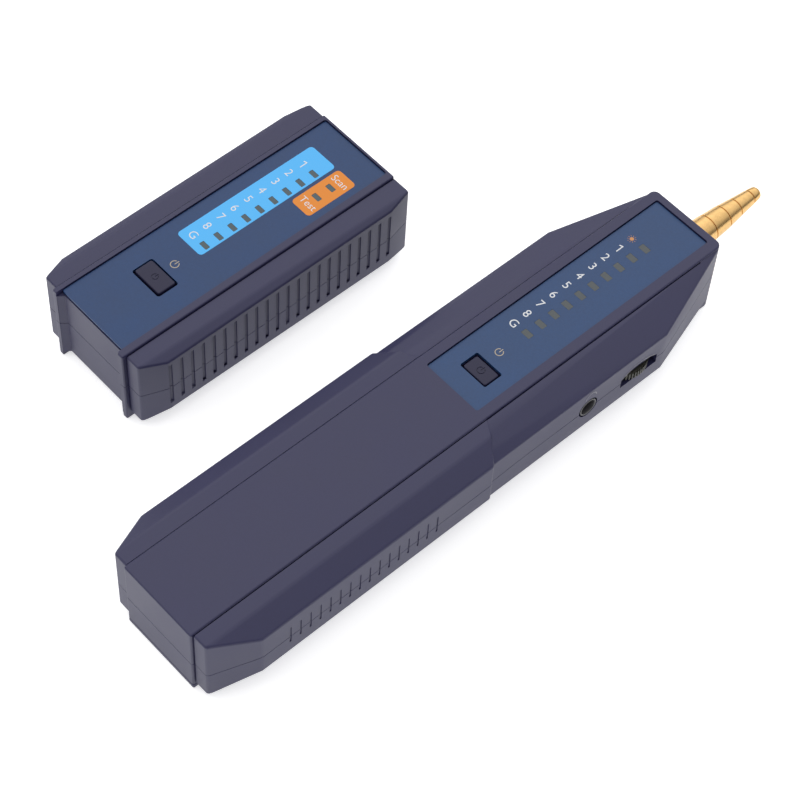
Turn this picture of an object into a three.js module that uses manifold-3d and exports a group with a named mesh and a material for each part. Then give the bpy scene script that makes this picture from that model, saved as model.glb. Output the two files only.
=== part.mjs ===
// Network cable tester: a hand-held receiver with a brass probe, and its transmitter box.
// Millimetres, +Z up. Each unit is built in its own frame: X across, Y along its length from
// its tail, Z up from the surface it stands on. The row's origin is at the middle of the pair.
import * as THREE from 'three';
import { ConvexGeometry } from 'three/addons/geometries/ConvexGeometry.js';
import { mergeVertices } from 'three/addons/utils/BufferGeometryUtils.js';
import Module from 'manifold-3d';

const wasm = await Module();
wasm.setup();

// ---- driving dimensions ----
const GAP = 0.3;                  // clearance between neighbouring pieces
const WALL = 2.0;                 // moulded wall
const LABEL_THICKNESS = 0.8;
const LABEL_DROP = 0.7;           // how far the label lies below the rim around it
const WINDOW = { across: 3.4, along: 2.1 };
const SCREW = { head: 2.5, shank: 1.25, headHeight: 1.8 };
const BATTERY = { width: 26.5, length: 46, height: 17.5 };

const RECEIVER = {
  length: 192, height: 27.3, blockHalf: 13.35,
  ridgeHalf: 18.2, rearHalf: 24.3, frontHalf: 23.6,
  waist: 94, taperStart: 160, taperEnd: 190,
  seam: 15.0, ceiling: 23.8,
};
const TRANSMITTER = {
  length: 98, height: 28.9, blockHalf: 15.2,
  ridgeHalf: 20.2, wallHalf: 23.3,
  seam: 15.0, ceiling: 25.4,
};
const UNIT_SPACING = 78.7;        // between the two centre lines
const TRANSMITTER_Y = 39.3;       // its near end, from the receiver's tail
const PROBE_TIP_Y = 224;

// ---- materials ----
function finish(color, roughness, metalness = 0) {
  return new THREE.MeshStandardMaterial({ color, roughness, metalness, flatShading: true });
}
const casePlastic = finish(0x47475c, 0.55);
const receiverFilm = finish(0x3d5680, 0.45);
const transmitterFilm = finish(0x3b5478, 0.45);
const clearPlastic = finish(0xb8c4c8, 0.3);
const ledPlastic = finish(0xd8d8c8, 0.4);
const boardGreen = finish(0x1f5a38, 0.6);
const blackPlastic = finish(0x1a1a1c, 0.5);
const wheelPlastic = finish(0x22241c, 0.6);
const brass = finish(0xc89a55, 0.3, 1);
const steel = finish(0xb4b4b8, 0.35, 1);
const gold = finish(0xd8b060, 0.3, 1);
const batteryJacket = finish(0x30343a, 0.4);
const redWire = finish(0xa02020, 0.5);
const blackWire = finish(0x151515, 0.5);

// ---- solids ----
function solid(geometry) {
  geometry.deleteAttribute('normal');
  geometry.deleteAttribute('uv');
  const merged = mergeVertices(geometry, 1e-4);
  return new wasm.Manifold(new wasm.Mesh({
    numProp: 3,
    vertProperties: Float32Array.from(merged.attributes.position.array),
    triVerts: Uint32Array.from(merged.index.array),
  }));
}

function meshOf(name, body, material) {
  const { vertProperties, triVerts } = body.getMesh();
  const geometry = new THREE.BufferGeometry();
  geometry.setAttribute('position', new THREE.BufferAttribute(Float32Array.from(vertProperties), 3));
  geometry.setIndex(new THREE.BufferAttribute(Uint32Array.from(triVerts), 1));
  geometry.computeVertexNormals();
  const mesh = new THREE.Mesh(geometry, material);
  mesh.name = name;
  return mesh;
}

function unite(parts) {
  return parts.reduce((whole, part) => whole.add(part));
}

function cut(body, tools) {
  return tools.reduce((rest, tool) => rest.subtract(tool), body);
}

function box([x0, x1], [y0, y1], [z0, z1]) {
  const geometry = new THREE.BoxGeometry(x1 - x0, y1 - y0, z1 - z0);
  geometry.translate((x0 + x1) / 2, (y0 + y1) / 2, (z0 + z1) / 2);
  return solid(geometry);
}

function hull(points) {
  return solid(new ConvexGeometry(points.map((p) => new THREE.Vector3(...p))));
}

// points given on the +X side, mirrored to the -X side
function mirroredHull(points) {
  return hull(points.flatMap(([x, y, z]) => [[x, y, z], [-x, y, z]]));
}

// a turned piece: profile of [radius, distance] pairs, along X, Y or Z from a start point
function turned(profile, axis, [x, y, z], segments = 24) {
  const geometry = new THREE.LatheGeometry(
    profile.map(([radius, distance]) => new THREE.Vector2(radius, distance)), segments);
  if (axis === 'x') geometry.rotateZ(-Math.PI / 2);
  if (axis === 'z') geometry.rotateX(Math.PI / 2);
  geometry.translate(x, y, z);
  return solid(geometry);
}

function rod(radius, length, axis, start, segments = 16) {
  return turned([[0, 0], [radius, 0], [radius, length], [0, length]], axis, start, segments);
}

// a flat plate with round corners, [x0, x1] by [y0, y1], standing from z0 to z1
function plate([x0, x1], [y0, y1], [z0, z1], corner) {
  const shape = new THREE.Shape();
  shape.moveTo(x0 + corner, y0);
  shape.lineTo(x1 - corner, y0);
  shape.absarc(x1 - corner, y0 + corner, corner, -Math.PI / 2, 0);
  shape.lineTo(x1, y1 - corner);
  shape.absarc(x1 - corner, y1 - corner, corner, 0, Math.PI / 2);
  shape.lineTo(x0 + corner, y1);
  shape.absarc(x0 + corner, y1 - corner, corner, Math.PI / 2, Math.PI);
  shape.lineTo(x0, y0 + corner);
  shape.absarc(x0 + corner, y0 + corner, corner, Math.PI, Math.PI * 1.5);
  const geometry = new THREE.ExtrudeGeometry(shape, {
    depth: z1 - z0, bevelEnabled: false, curveSegments: 3,
  });
  geometry.translate(0, 0, z0);
  return solid(geometry);
}

// an insulated lead along a smooth curve
function lead(points, radius = 0.8, sides = 6) {
  const section = new THREE.Shape();
  section.absarc(0, 0, radius, 0, Math.PI * 2);
  const path = new THREE.CatmullRomCurve3(points.map((p) => new THREE.Vector3(...p)));
  return solid(new THREE.ExtrudeGeometry(section, {
    steps: 10, extrudePath: path, curveSegments: sides / 2, bevelEnabled: false,
  }));
}

// everything below the seam of a case, raised or lowered by `shift`
function belowSeam(outline, halfWidth, shift) {
  const shape = new THREE.Shape();
  const bottom = -10;
  shape.moveTo(outline[0][0], bottom);
  for (const [y, z] of outline) shape.lineTo(y, z + shift);
  shape.lineTo(outline.at(-1)[0], bottom);
  const geometry = new THREE.ExtrudeGeometry(shape, { depth: 2 * halfWidth, bevelEnabled: false });
  geometry.rotateY(Math.PI / 2);
  geometry.rotateX(Math.PI / 2);
  geometry.translate(-halfWidth, 0, 0);
  return solid(geometry);
}

// ---- pieces that both units share ----
function caseScrew(name, x, y, seat) {
  const head = seat - GAP - SCREW.headHeight;
  const profile = [[0, 0], [SCREW.head, 0], [SCREW.head, SCREW.headHeight],
    [SCREW.shank, SCREW.headHeight], [SCREW.shank, 16 - head], [0, 16 - head]];
  const slot = box([x - 1.8, x + 1.8], [y - 0.35, y + 0.35], [head - 1, head + 0.8]);
  return meshOf(name, turned(profile, 'z', [x, y, head], 12).subtract(slot), steel);
}

// pillar in the bottom shell, pillar in the top shell, and the holes through them
function screwPillars(x, y, seat, ceiling) {
  const joint = 9;
  return {
    bottom: rod(3.2, joint - WALL, 'z', [x, y, WALL], 12),
    top: rod(2.8, ceiling + 0.5 - joint - GAP, 'z', [x, y, joint + GAP], 12),
    holes: [rod(SCREW.head + GAP, seat + 10, 'z', [x, y, -10], 12),
      rod(SCREW.shank + GAP, 17, 'z', [x, y, 0], 12)],
  };
}

function battery(name, start, floor) {
  const half = BATTERY.width / 2;
  const end = start + BATTERY.length;
  const middle = floor + BATTERY.height / 2;
  return meshOf(name, unite([
    box([-half, half], [start, end], [floor, floor + BATTERY.height]),
    rod(2.9, 2.8, 'y', [-6.4, end - 0.3, middle]),
    rod(3.9, 2.8, 'y', [6.4, end - 0.3, middle], 6),
  ]), batteryJacket);
}

function batterySnap(name, start, middle) {
  return meshOf(name, cut(
    box([-12, 12], [start, start + 2.6], [middle - 6, middle + 6]),
    [rod(3.3, 6, 'y', [-6.4, start - 1, middle]), rod(4.3, 6, 'y', [6.4, start - 1, middle])],
  ), blackPlastic);
}

// modular jack body: cavity open along +Y from `face`, contacts on the ceiling of the cavity
function modularJack(width, cavityWidth, depth, [z0, z1]) {
  const height = z1 - z0;
  return cut(box([-width / 2, width / 2], [-depth, 0], [z0, z1]), [
    box([-cavityWidth / 2, cavityWidth / 2], [-depth + 2.2, 1], [z0 + 1.2, z1 - 1.2]),
    box([-3.2, 3.2], [-depth + 6, 1], [z0 + 0.6, z0 + height / 2]),
  ]);
}

function jackContacts(count, pitch, depth, ceiling) {
  const rail = box([-(count * pitch) / 2, (count * pitch) / 2], [-depth + 2.5, -depth + 3.3],
    [ceiling - 1.3, ceiling - 0.3]);
  const springs = [];
  for (let i = 0; i < count; i += 1) {
    const x = (i - (count - 1) / 2) * pitch;
    springs.push(box([x - 0.25, x + 0.25], [-depth + 3.1, -2], [ceiling - 1.2, ceiling - 0.7]));
  }
  return unite([rail, ...springs]);
}

// ==== receiver ====
const receiver = new THREE.Group();

const R = RECEIVER;
const receiverJack = { y: 130.4, z: 16.2, ring: 3.25 };
const receiverWheel = { y: 150.1, radius: 8, x: 16.2, z: [14.1, 16.5] };
const receiverWindows = Array.from({ length: 10 }, (_, i) => 127.8 + 5.1 * i);
const receiverLabel = { half: 9.75, y: [100.9, 189.2] };
const receiverButton = { x: [-4.4, 5.5], y: [107.8, 114.3] };
const receiverBoard = { z: [9.6, 11.2] };
const receiverSocket = { y: 131, z: [11.5, 22], face: -21.3 };
const receiverBay = { half: 13.6, y: [14.5, 64.5] };
const receiverDoor = { y: [0, 67], z: [0, 1.8] };
const bayFloorEnd = 68.5;
const rearCeiling = R.height - 0.3 - WALL;
// across, along, height of the head's seat, height of the ceiling above
const receiverScrews = [[-9.5, 8.5, 5.2, rearCeiling], [9.5, 8.5, 5.2, rearCeiling],
  [-9, 179, 4.5, R.ceiling], [9, 179, 4.5, R.ceiling]];
const probe = { z: 13.5, neck: 3 };
const speaker = { y: 83.5, radius: 12.5, z: [2.4, 7.4] };

// outer form, drawn in by `inset`; `ceiling` limits the height of the front hollow
function receiverForm(inset) {
  const top = R.height - 0.3 - inset;
  const low = 2.2 + inset;
  const wallTop = 23.8 - inset * 0.6;
  const wallLow = 7.7 + inset * 0.6;
  const rear = mirroredHull([
    [R.ridgeHalf - inset * 0.5, 0.8 + inset, top], [R.ridgeHalf - inset * 0.5, 0.8 + inset, low],
    [R.rearHalf - inset, 14.1 + inset * 0.4, wallTop], [R.rearHalf - inset, 14.1 + inset * 0.4, wallLow],
    [R.rearHalf - inset, R.waist, wallTop], [R.rearHalf - inset, R.waist, wallLow],
    [R.ridgeHalf - inset * 0.5, R.waist + 4.5, top], [R.ridgeHalf - inset * 0.5, R.waist + 4.5, low],
    [R.blockHalf, R.waist + 7.6, top], [R.blockHalf, R.waist + 7.6, low],
  ]);
  const frontTop = inset > 0 ? R.ceiling : top - 0.2;
  const front = mirroredHull([
    [R.frontHalf - inset, R.waist - 4, 23.5 - inset * 0.6], [R.frontHalf - inset, R.waist - 4, 7.9 + inset * 0.6],
    [R.frontHalf - inset, R.taperStart - inset * 0.3, 23.5 - inset * 0.6],
    [R.frontHalf - inset, R.taperStart - inset * 0.3, 7.9 + inset * 0.6],
    [18.5 - inset, R.waist - 4, frontTop], [18.5 - inset, R.waist - 4, low + 0.2],
    [18.5 - inset, 105, frontTop], [18.5 - inset, 105, low + 0.2],
    [16.9 - inset, 140, frontTop], [16.9 - inset, 140, low + 0.2],
    [13.4 - inset, 182 - inset, frontTop], [13.4 - inset, 182 - inset, low + 0.2],
    [13.4 - inset, R.taperEnd - inset, 25.6 - inset * 1.2], [13.4 - inset, R.taperEnd - inset, 3.6 + inset],
  ]);
  return { rear, front };
}

function buildReceiverShells() {
  const outer = receiverForm(0);
  const edge = 0.6;
  const nose = 1.6;
  const block = mirroredHull([
    [R.blockHalf - edge, 0, edge], [R.blockHalf - edge, 0, R.height - edge],
    [R.blockHalf, edge, edge], [R.blockHalf, edge, R.height - edge],
    [R.blockHalf - edge, edge, 0], [R.blockHalf - edge, edge, R.height],
    [R.blockHalf, R.length - nose, edge], [R.blockHalf, R.length - nose, R.height - edge],
    [R.blockHalf - edge, R.length - nose, 0], [R.blockHalf - edge, R.length - nose, R.height],
    [R.blockHalf - nose, R.length, 1.2], [R.blockHalf - nose, R.length, R.height - 1.2],
    [R.blockHalf - nose - 1, R.length - edge, 0], [R.blockHalf - nose - 1, R.length - edge, R.height],
  ]);
  const whole = unite([outer.rear, outer.front, block]);

  const inner = receiverForm(WALL);
  const keel = box([-R.blockHalf + 0.2, R.blockHalf - 0.2], [bayFloorEnd, 184], [WALL, 12]);
  const nosePocket = box([-8, 8], [178, 190], [5, 20]);
  const hollow = unite([inner.rear, inner.front, keel, nosePocket]);
  const shell = whole.subtract(hollow);

  // ribs inside: the wall that closes the battery bay, and the pillars for the case screws
  const bayWall = box([-20, 20], [bayFloorEnd, bayFloorEnd + 1.6], [WALL - 0.5, 12]);
  const seamLine = [[-5, 12.4], [0.8, 12.4], [14.1, R.seam], [95, R.seam], [104, 15.5], [200, 15.5]];
  let bottom = shell.intersect(belowSeam(seamLine, 40, -GAP / 2)).add(bayWall);
  let top = shell.subtract(belowSeam(seamLine, 40, GAP / 2));
  const holes = [];
  for (const [x, y, seat, ceiling] of receiverScrews) {
    const pillars = screwPillars(x, y, seat, ceiling);
    bottom = bottom.add(pillars.bottom);
    top = top.add(pillars.top);
    holes.push(...pillars.holes);
  }

  // label recess, button and light windows
  const recessTop = R.height - LABEL_DROP - LABEL_THICKNESS - GAP;
  const label = receiverLabel;
  const topCuts = [
    plate([-label.half - GAP, label.half + GAP], [label.y[0] - GAP, label.y[1] + GAP], [recessTop, 40], 1),
    box([receiverButton.x[0], receiverButton.x[1]], [receiverButton.y[0], receiverButton.y[1]], [20, 40]),
    ...receiverWindows.map((y) => windowCutter(0.2, y, 20)),
  ];
  // lines where the centre block stands out of the shoulders, top and tail
  for (const side of [-1, 1]) {
    const x = side * (R.blockHalf + 0.25);
    topCuts.push(box([x - 0.25, x + 0.25], [-1, 181], [R.height - 1.1, 40]));
    holes.push(box([x - 0.25, x + 0.25], [-1, 1.7], [-1, 40]));
  }
  // grip grooves on both side walls
  const grooves = [];
  for (let i = 0; i < 16; i += 1) {
    const y = 23.4 + 3.37 * i;
    for (const side of [-1, 1]) {
      const x = side * R.rearHalf;
      grooves.push(box([x - 0.5, x + 0.5], [y - 0.4, y + 0.4], [12.4, 19.5]));
    }
  }
  // openings in the walls: probe, earphone jack, thumb wheel and network cable
  const socket = receiverSocket;
  const wallCuts = [
    rod(probe.neck + GAP, 12, 'y', [0, 184, probe.z]),
    rod(receiverJack.ring + GAP, 6, 'x', [R.frontHalf - 4, receiverJack.y, receiverJack.z], 24),
    box([18, 30], [receiverWheel.y - 7, receiverWheel.y + 7], [13.5, 17.2]),
    box([-30, -18], [socket.y - 6.4, socket.y + 6.4], [12.4, 21.1]),
  ];
  // battery bay, the step for its door, the hook slot, and the sound slots
  const bottomCuts = [
    box([-30, 30], [-1, receiverDoor.y[1] + GAP], [-1, receiverDoor.z[1] + GAP]),
    box([-receiverBay.half, receiverBay.half], receiverBay.y, [-1, 6]),
  ];
  for (let i = 0; i < 5; i += 1) {
    const y = speaker.y + (i - 2) * 3.4;
    bottomCuts.push(plate([-8, 8], [y - 0.8, y + 0.8], [-1, 3], 0.7));
  }
  top = cut(top, [...holes, ...topCuts, ...grooves, ...wallCuts]);
  bottom = cut(bottom, [...holes, ...grooves, ...wallCuts, ...bottomCuts]);
  return { top, bottom };
}

function windowCutter(x, y, z0) {
  const { across, along } = WINDOW;
  return box([x - across / 2, x + across / 2], [y - along / 2, y + along / 2], [z0, 40]);
}

// a bar with one clear post under each window
function lightGuide(x, windows, barHalf, [z0, z1], postTop) {
  const across = WINDOW.across / 2 - GAP;
  const along = WINDOW.along / 2 - GAP;
  const bar = box([x - barHalf, x + barHalf], [windows[0] - 2, windows.at(-1) + 2], [z0, z1]);
  const posts = windows.map((y) => box([x - across, x + across], [y - along, y + along], [z0, postTop]));
  return unite([bar, ...posts]);
}

const receiverShells = buildReceiverShells();
receiver.add(meshOf('receiver_top_shell', receiverShells.top, casePlastic));
receiver.add(meshOf('receiver_bottom_shell', receiverShells.bottom, casePlastic));

// label, with its button opening and light windows
{
  const top = R.height - LABEL_DROP;
  const { half, y } = receiverLabel;
  const sheet = plate([-half, half], y, [top - LABEL_THICKNESS, top], 0.8);
  const opening = box(receiverButton.x, receiverButton.y, [20, 40]);
  const windows = receiverWindows.map((place) => windowCutter(0.2, place, 20));
  receiver.add(meshOf('receiver_label', cut(sheet, [opening, ...windows]), receiverFilm));
}

// push button: cap, flange that keeps it in, and stem down to the switch
{
  const { x, y } = receiverButton;
  const middle = (x[0] + x[1]) / 2;
  const along = (y[0] + y[1]) / 2;
  const cap = plate([x[0] + GAP, x[1] - GAP], [y[0] + GAP, y[1] - GAP], [22.4, R.height - 0.5], 0.6);
  const flange = plate([x[0] - 0.8, x[1] + 0.8], [y[0] - 0.8, y[1] + 0.8], [22.4, R.ceiling - GAP], 0.6);
  const stem = rod(1.6, 4, 'z', [middle, along, 18.5]);
  receiver.add(meshOf('receiver_button', unite([cap, flange, stem]), casePlastic));
  const housing = box([middle - 3, middle + 3], [along - 3, along + 3], [receiverBoard.z[1] + GAP, 15.2]);
  const plunger = rod(1.7, 2.8, 'z', [middle, along, 14.9]);
  receiver.add(meshOf('receiver_button_switch', housing.add(plunger), blackPlastic));
}

// main board, light strip and light guide
{
  const outline = mirroredHull([[17.5, 98, receiverBoard.z[0]], [17.5, 98, receiverBoard.z[1]],
    [17.5, 158, receiverBoard.z[0]], [17.5, 158, receiverBoard.z[1]],
    [11.5, 174, receiverBoard.z[0]], [11.5, 174, receiverBoard.z[1]]]);
  receiver.add(meshOf('receiver_main_board', outline, boardGreen));

  const ends = [receiverWindows[0] - 2, receiverWindows.at(-1) + 2];
  const bar = box([-2.4, 2.8], ends, [17.6, 19.2]);
  const lamps = receiverWindows.map((y) => box([-1.1, 1.5], [y - 0.8, y + 0.8], [19, 21]));
  const legs = [ends[0] + 1, 171].map((y) => box([-0.8, 1.2], [y - 1, y + 1], [receiverBoard.z[1] + GAP, 18]));
  receiver.add(meshOf('receiver_led_strip', unite([bar, ...lamps, ...legs]), ledPlastic));
  const guide = lightGuide(0.2, receiverWindows, 2.6, [22, R.ceiling - GAP], R.height - LABEL_DROP - 0.1);
  receiver.add(meshOf('receiver_light_guide', guide, clearPlastic));
}

// volume control: pot on the board, knurled wheel above it, screw through both
const receiverWheelParts = [];
{
  const { x, y, radius, z } = receiverWheel;
  const base = box([x - 4.8, x + 4.8], [y - 4.8, y + 4.8], [receiverBoard.z[1] + GAP, z[0] - GAP]);
  const potHole = rod(1.7, 8, 'z', [x, y, 8]);
  receiver.add(meshOf('receiver_volume_pot', base.subtract(potHole), blackPlastic));

  const teeth = 44;
  const outline = new THREE.Shape();
  for (let i = 0; i < teeth * 2; i += 1) {
    const angle = (i * Math.PI) / teeth;
    const reach = i % 2 === 0 ? radius : radius - 0.45;
    outline[i === 0 ? 'moveTo' : 'lineTo'](reach * Math.cos(angle), reach * Math.sin(angle));
  }
  outline.closePath();
  const disc = new THREE.ExtrudeGeometry(outline, { depth: z[1] - z[0], bevelEnabled: false });
  disc.translate(x, y, z[0]);
  const wheel = solid(disc).subtract(rod(1.6, 8, 'z', [x, y, 12]));
  receiverWheelParts.push(meshOf('receiver_volume_wheel', wheel, wheelPlastic));
  const top = z[1] + GAP;
  const screw = turned([[0, 0], [1.3, 0], [1.3, top - 12.2], [2.4, top - 12.2], [2.4, top - 11.2], [0, top - 11.2]],
    'z', [x, y, 12.2], 12);
  receiverWheelParts.push(meshOf('receiver_wheel_screw', screw, steel));
  receiver.add(...receiverWheelParts);
}

// earphone jack and its threaded ring
{
  const { y, z, ring } = receiverJack;
  const face = R.frontHalf - WALL - GAP;
  const housing = box([face - 11, face], [y - 4, y + 4], [receiverBoard.z[1] + GAP, 20.4]);
  const bore = rod(1.85, 12, 'x', [face - 9.5, y, z]);
  receiver.add(meshOf('receiver_earphone_jack', housing.subtract(bore), blackPlastic));
  const collar = turned([[1.85, 0], [ring, 0], [ring, WALL + 0.2], [2.6, WALL + 0.2], [1.85, WALL - 0.4], [1.85, 0]],
    'x', [face + GAP, y, z], 24);
  receiver.add(meshOf('receiver_jack_ring', collar, blackPlastic));
}

// brass probe: stepped cone outside, threaded neck through the nose wall, washer and nut inside
{
  const start = R.length + GAP;
  const tip = PROBE_TIP_Y - start;
  const profile = [[0, -8], [probe.neck, -8], [probe.neck, 0], [4.8, 0], [4.35, 10.4], [4.0, 10.7],
    [3.95, 11.1], [3.75, 16.6], [3.45, 16.9], [3.35, 17.3], [3.05, 21.9], [2.75, 22.2], [2.65, 22.6],
    [2.35, 28.0], [2.15, 28.3], [2.1, 28.8], [1.85, tip - 0.9], [1.2, tip - 0.2], [0, tip]];
  receiver.add(meshOf('receiver_probe', turned(profile, 'y', [0, start, probe.z], 20), brass));
  const washer = turned([[3.3, 0], [5.4, 0], [5.4, 0.6], [3.3, 0.6], [3.3, 0]], 'y', [0, 189.1, probe.z], 20);
  receiver.add(meshOf('receiver_probe_washer', washer, steel));
  const nut = rod(5.3, 2.4, 'y', [0, 186.4, probe.z], 6).subtract(rod(3.3, 4, 'y', [0, 185.6, probe.z], 20));
  receiver.add(meshOf('receiver_probe_nut', nut, brass));
  const strap = lead([[0, 183.7, probe.z + 1], [0, 180, 14.8], [0, 176, 13.6], [0, 172.6, 12.4]], 0.6);
  receiver.add(meshOf('receiver_probe_lead', strap, redWire));
}

// network socket on the side, opening to -X
{
  const { y, z, face } = receiverSocket;
  const depth = 15.8;
  const toSide = (body) => body.rotate([0, 0, 90]).translate([face, y, 0]);
  const housing = modularJack(15.8, 11.8, depth, z);
  receiver.add(meshOf('receiver_network_socket', toSide(housing), blackPlastic));
  receiver.add(meshOf('receiver_network_contacts', toSide(jackContacts(8, 1.02, depth, z[1] - 1.2)), gold));
}

// loudspeaker over the sound slots
{
  const { y, radius, z } = speaker;
  const profile = [[0, 1], [3, 0.4], [9.5, 1.4], [10.5, 0], [radius, 0], [radius, 1.6], [8, 4],
    [8, z[1] - z[0]], [0, z[1] - z[0]]];
  receiver.add(meshOf('receiver_speaker', turned(profile, 'z', [0, y, z[0]], 24), blackPlastic));
}

// battery, snap connector and leads
{
  const floor = receiverDoor.z[1] + 2 * GAP;
  const middle = floor + BATTERY.height / 2;
  const end = receiverBay.y[0] + 1.5 + BATTERY.length;
  receiver.add(battery('receiver_battery', receiverBay.y[0] + 1.5, floor));
  receiver.add(batterySnap('receiver_battery_snap', end + GAP, middle));
  for (const [name, x, material] of [['red', 4, redWire], ['black', -4, blackWire]]) {
    const start = end + 2 * GAP + 2.6;
    const wire = lead([[x, start + 1, middle + 4], [x * 1.2, start + 10, 17.5], [x * 1.6, 90, 16.5],
      [x * 1.7, 98, 14], [x * 1.7, 101, 12.2]]);
    receiver.add(meshOf(`receiver_battery_lead_${name}`, wire, material));
  }
}

// battery door: slides towards the tail, with two hooks above the case floor
const receiverDoorPart = (() => {
  const [start, end] = receiverDoor.y;
  const floor = mirroredHull([[R.blockHalf - 0.6, start, 0.6], [R.blockHalf - 0.6, start, receiverDoor.z[1]],
    [R.blockHalf, start + 0.6, receiverDoor.z[1]], [R.blockHalf, start + 0.6, 0.6], [R.blockHalf - 0.6, start + 0.6, 0],
    [R.blockHalf, end, receiverDoor.z[1]], [R.blockHalf, end, 0.6], [R.blockHalf - 0.6, end, 0]]);
  const grips = [0, 1, 2].map((i) => box([-6, 6], [8 + 2 * i, 9 + 2 * i], [-1, 0.5]));
  return meshOf('receiver_battery_door', cut(floor, grips), casePlastic);
})();
receiver.add(receiverDoorPart);

receiverScrews.forEach(([x, y, seat], i) => {
  receiver.add(caseScrew(`receiver_case_screw_${i + 1}`, x, y, seat));
});

// ==== transmitter ====
const transmitter = new THREE.Group();

const T = TRANSMITTER;
const transmitterLabel = { half: 12.8, y: [1.9, 96.2] };
const transmitterButton = { x: [-5.7, 5.6], y: [19.9, 26.9] };
const transmitterWindows = Array.from({ length: 9 }, (_, i) => 40.85 + 4.985 * i);
const modeWindows = [75.8, 81.0];
const modeWindowX = 6.95;
const transmitterBoard = { z: [20.3, 21.7], y: [8, 94] };
const transmitterDoor = { half: 13.2, y: [9, 66], z: [0, 1.6] };
const transmitterBay = { half: 13.6, y: [12, 62] };
const jackFace = T.length - WALL - GAP;
const networkJack = { x: -6.9, width: 15.8 };
const phoneJack = { x: 8.4, width: 13 };
const jackHeight = [8.2, 19.9];
const transmitterScrews = [[-18, 11, 6], [18, 11, 6], [-18, 76, 6], [18, 76, 6]];

function transmitterForm(inset) {
  const top = T.height - 0.4 - inset;
  const low = 2.8 + inset;
  const wallTop = 27.05 - inset;
  const wallLow = 5.4 + inset * 0.8;
  const ends = [1.4 + inset, T.length - 1.4 - inset];
  const knees = [9.3 + inset * 0.4, T.length - 9.3 - inset * 0.4];
  const points = [];
  for (const y of ends) points.push([T.ridgeHalf - inset * 0.7, y, top], [T.ridgeHalf - inset * 0.7, y, low]);
  for (const y of knees) points.push([T.wallHalf - inset, y, wallTop], [T.wallHalf - inset, y, wallLow]);
  return mirroredHull(points);
}

function buildTransmitterShells() {
  const edge = 0.5;
  const block = mirroredHull([
    [T.blockHalf - edge, 0, edge], [T.blockHalf - edge, 0, T.height - edge],
    [T.blockHalf, edge, edge], [T.blockHalf, edge, T.height - edge],
    [T.blockHalf - edge, edge, 0], [T.blockHalf - edge, edge, T.height],
    [T.blockHalf - edge, T.length, edge], [T.blockHalf - edge, T.length, T.height - edge],
    [T.blockHalf, T.length - edge, edge], [T.blockHalf, T.length - edge, T.height - edge],
    [T.blockHalf - edge, T.length - edge, 0], [T.blockHalf - edge, T.length - edge, T.height],
  ]);
  const whole = transmitterForm(0).add(block);
  const ceilingCut = box([-40, 40], [-10, T.length + 10], [T.ceiling, 60]);
  const keel = box([-13.2, 13.2], [4, T.length - WALL], [WALL, 12]);
  const socketBay = box([-15.2, 15.2], [78, T.length - WALL], [8, 20.3]);
  const hollow = unite([transmitterForm(WALL).subtract(ceilingCut), keel, socketBay]);
  // the middle of the near end lies back between two corner posts, and the label ends there
  const endRecess = box([-13, 13], [-1, 1.9], [-1, 40]);
  const shell = cut(whole, [hollow.subtract(box([-40, 40], [-1, 4.0], [-1, 40])), endRecess]);

  const seamLine = [[-5, T.seam], [T.length + 5, T.seam]];
  let bottom = shell.intersect(belowSeam(seamLine, 40, -GAP / 2));
  let top = shell.subtract(belowSeam(seamLine, 40, GAP / 2));
  const holes = [];
  for (const [x, y, seat] of transmitterScrews) {
    const pillars = screwPillars(x, y, seat, T.ceiling);
    bottom = bottom.add(pillars.bottom.subtract(box([-40, 40], [-10, 110], [-1, 4.5])));
    top = top.add(pillars.top);
    holes.push(...pillars.holes);
  }
  const recessTop = T.height - LABEL_DROP - LABEL_THICKNESS - GAP;
  const { half, y } = transmitterLabel;
  const topCuts = [
    plate([-half - GAP, half + GAP], [-3, y[1] + GAP], [recessTop, 40], 1),
    box(transmitterButton.x, transmitterButton.y, [20, 40]),
    ...transmitterWindows.map((place) => windowCutter(0, place, 20)),
    ...modeWindows.map((place) => windowCutter(modeWindowX, place, 20)),
  ];
  // the step between centre block and shoulder
  for (const side of [-1, 1]) {
    const x = side * (T.blockHalf + 0.3);
    topCuts.push(box([x - 0.3, x + 0.3], [-1, T.length + 1], [T.height - 1.2, 40]));
    holes.push(box([x - 0.3, x + 0.3], [-1, 2.4], [-1, 40]));
  }
  const grooves = [];
  for (let i = 0; i < 22; i += 1) {
    const place = 9.9 + 3.77 * i;
    for (const side of [-1, 1]) {
      const x = side * T.wallHalf;
      grooves.push(box([x - 0.6, x + 0.6], [place - 0.45, place + 0.45], [7.2, 25.2]));
    }
  }
  // cable openings in the far end
  const mouth = [9.4, 18.8];
  const wallCuts = [
    box([networkJack.x - 6.3, networkJack.x + 6.3], [T.length - 6, T.length + 5], mouth),
    box([phoneJack.x - 5.3, phoneJack.x + 5.3], [T.length - 6, T.length + 5], mouth),
  ];
  const bottomCuts = [
    box([-13.6, 13.6], [-1, transmitterDoor.y[1] + GAP], [-1, transmitterDoor.z[1] + GAP]),
    box([-transmitterBay.half, transmitterBay.half], transmitterBay.y, [-1, 6]),
  ];
  top = cut(top, [...holes, ...topCuts, ...grooves, ...wallCuts]);
  bottom = cut(bottom, [...holes, ...grooves, ...wallCuts, ...bottomCuts]);
  return { top, bottom };
}

const transmitterShells = buildTransmitterShells();
transmitter.add(meshOf('transmitter_top_shell', transmitterShells.top, casePlastic));
transmitter.add(meshOf('transmitter_bottom_shell', transmitterShells.bottom, casePlastic));

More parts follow.
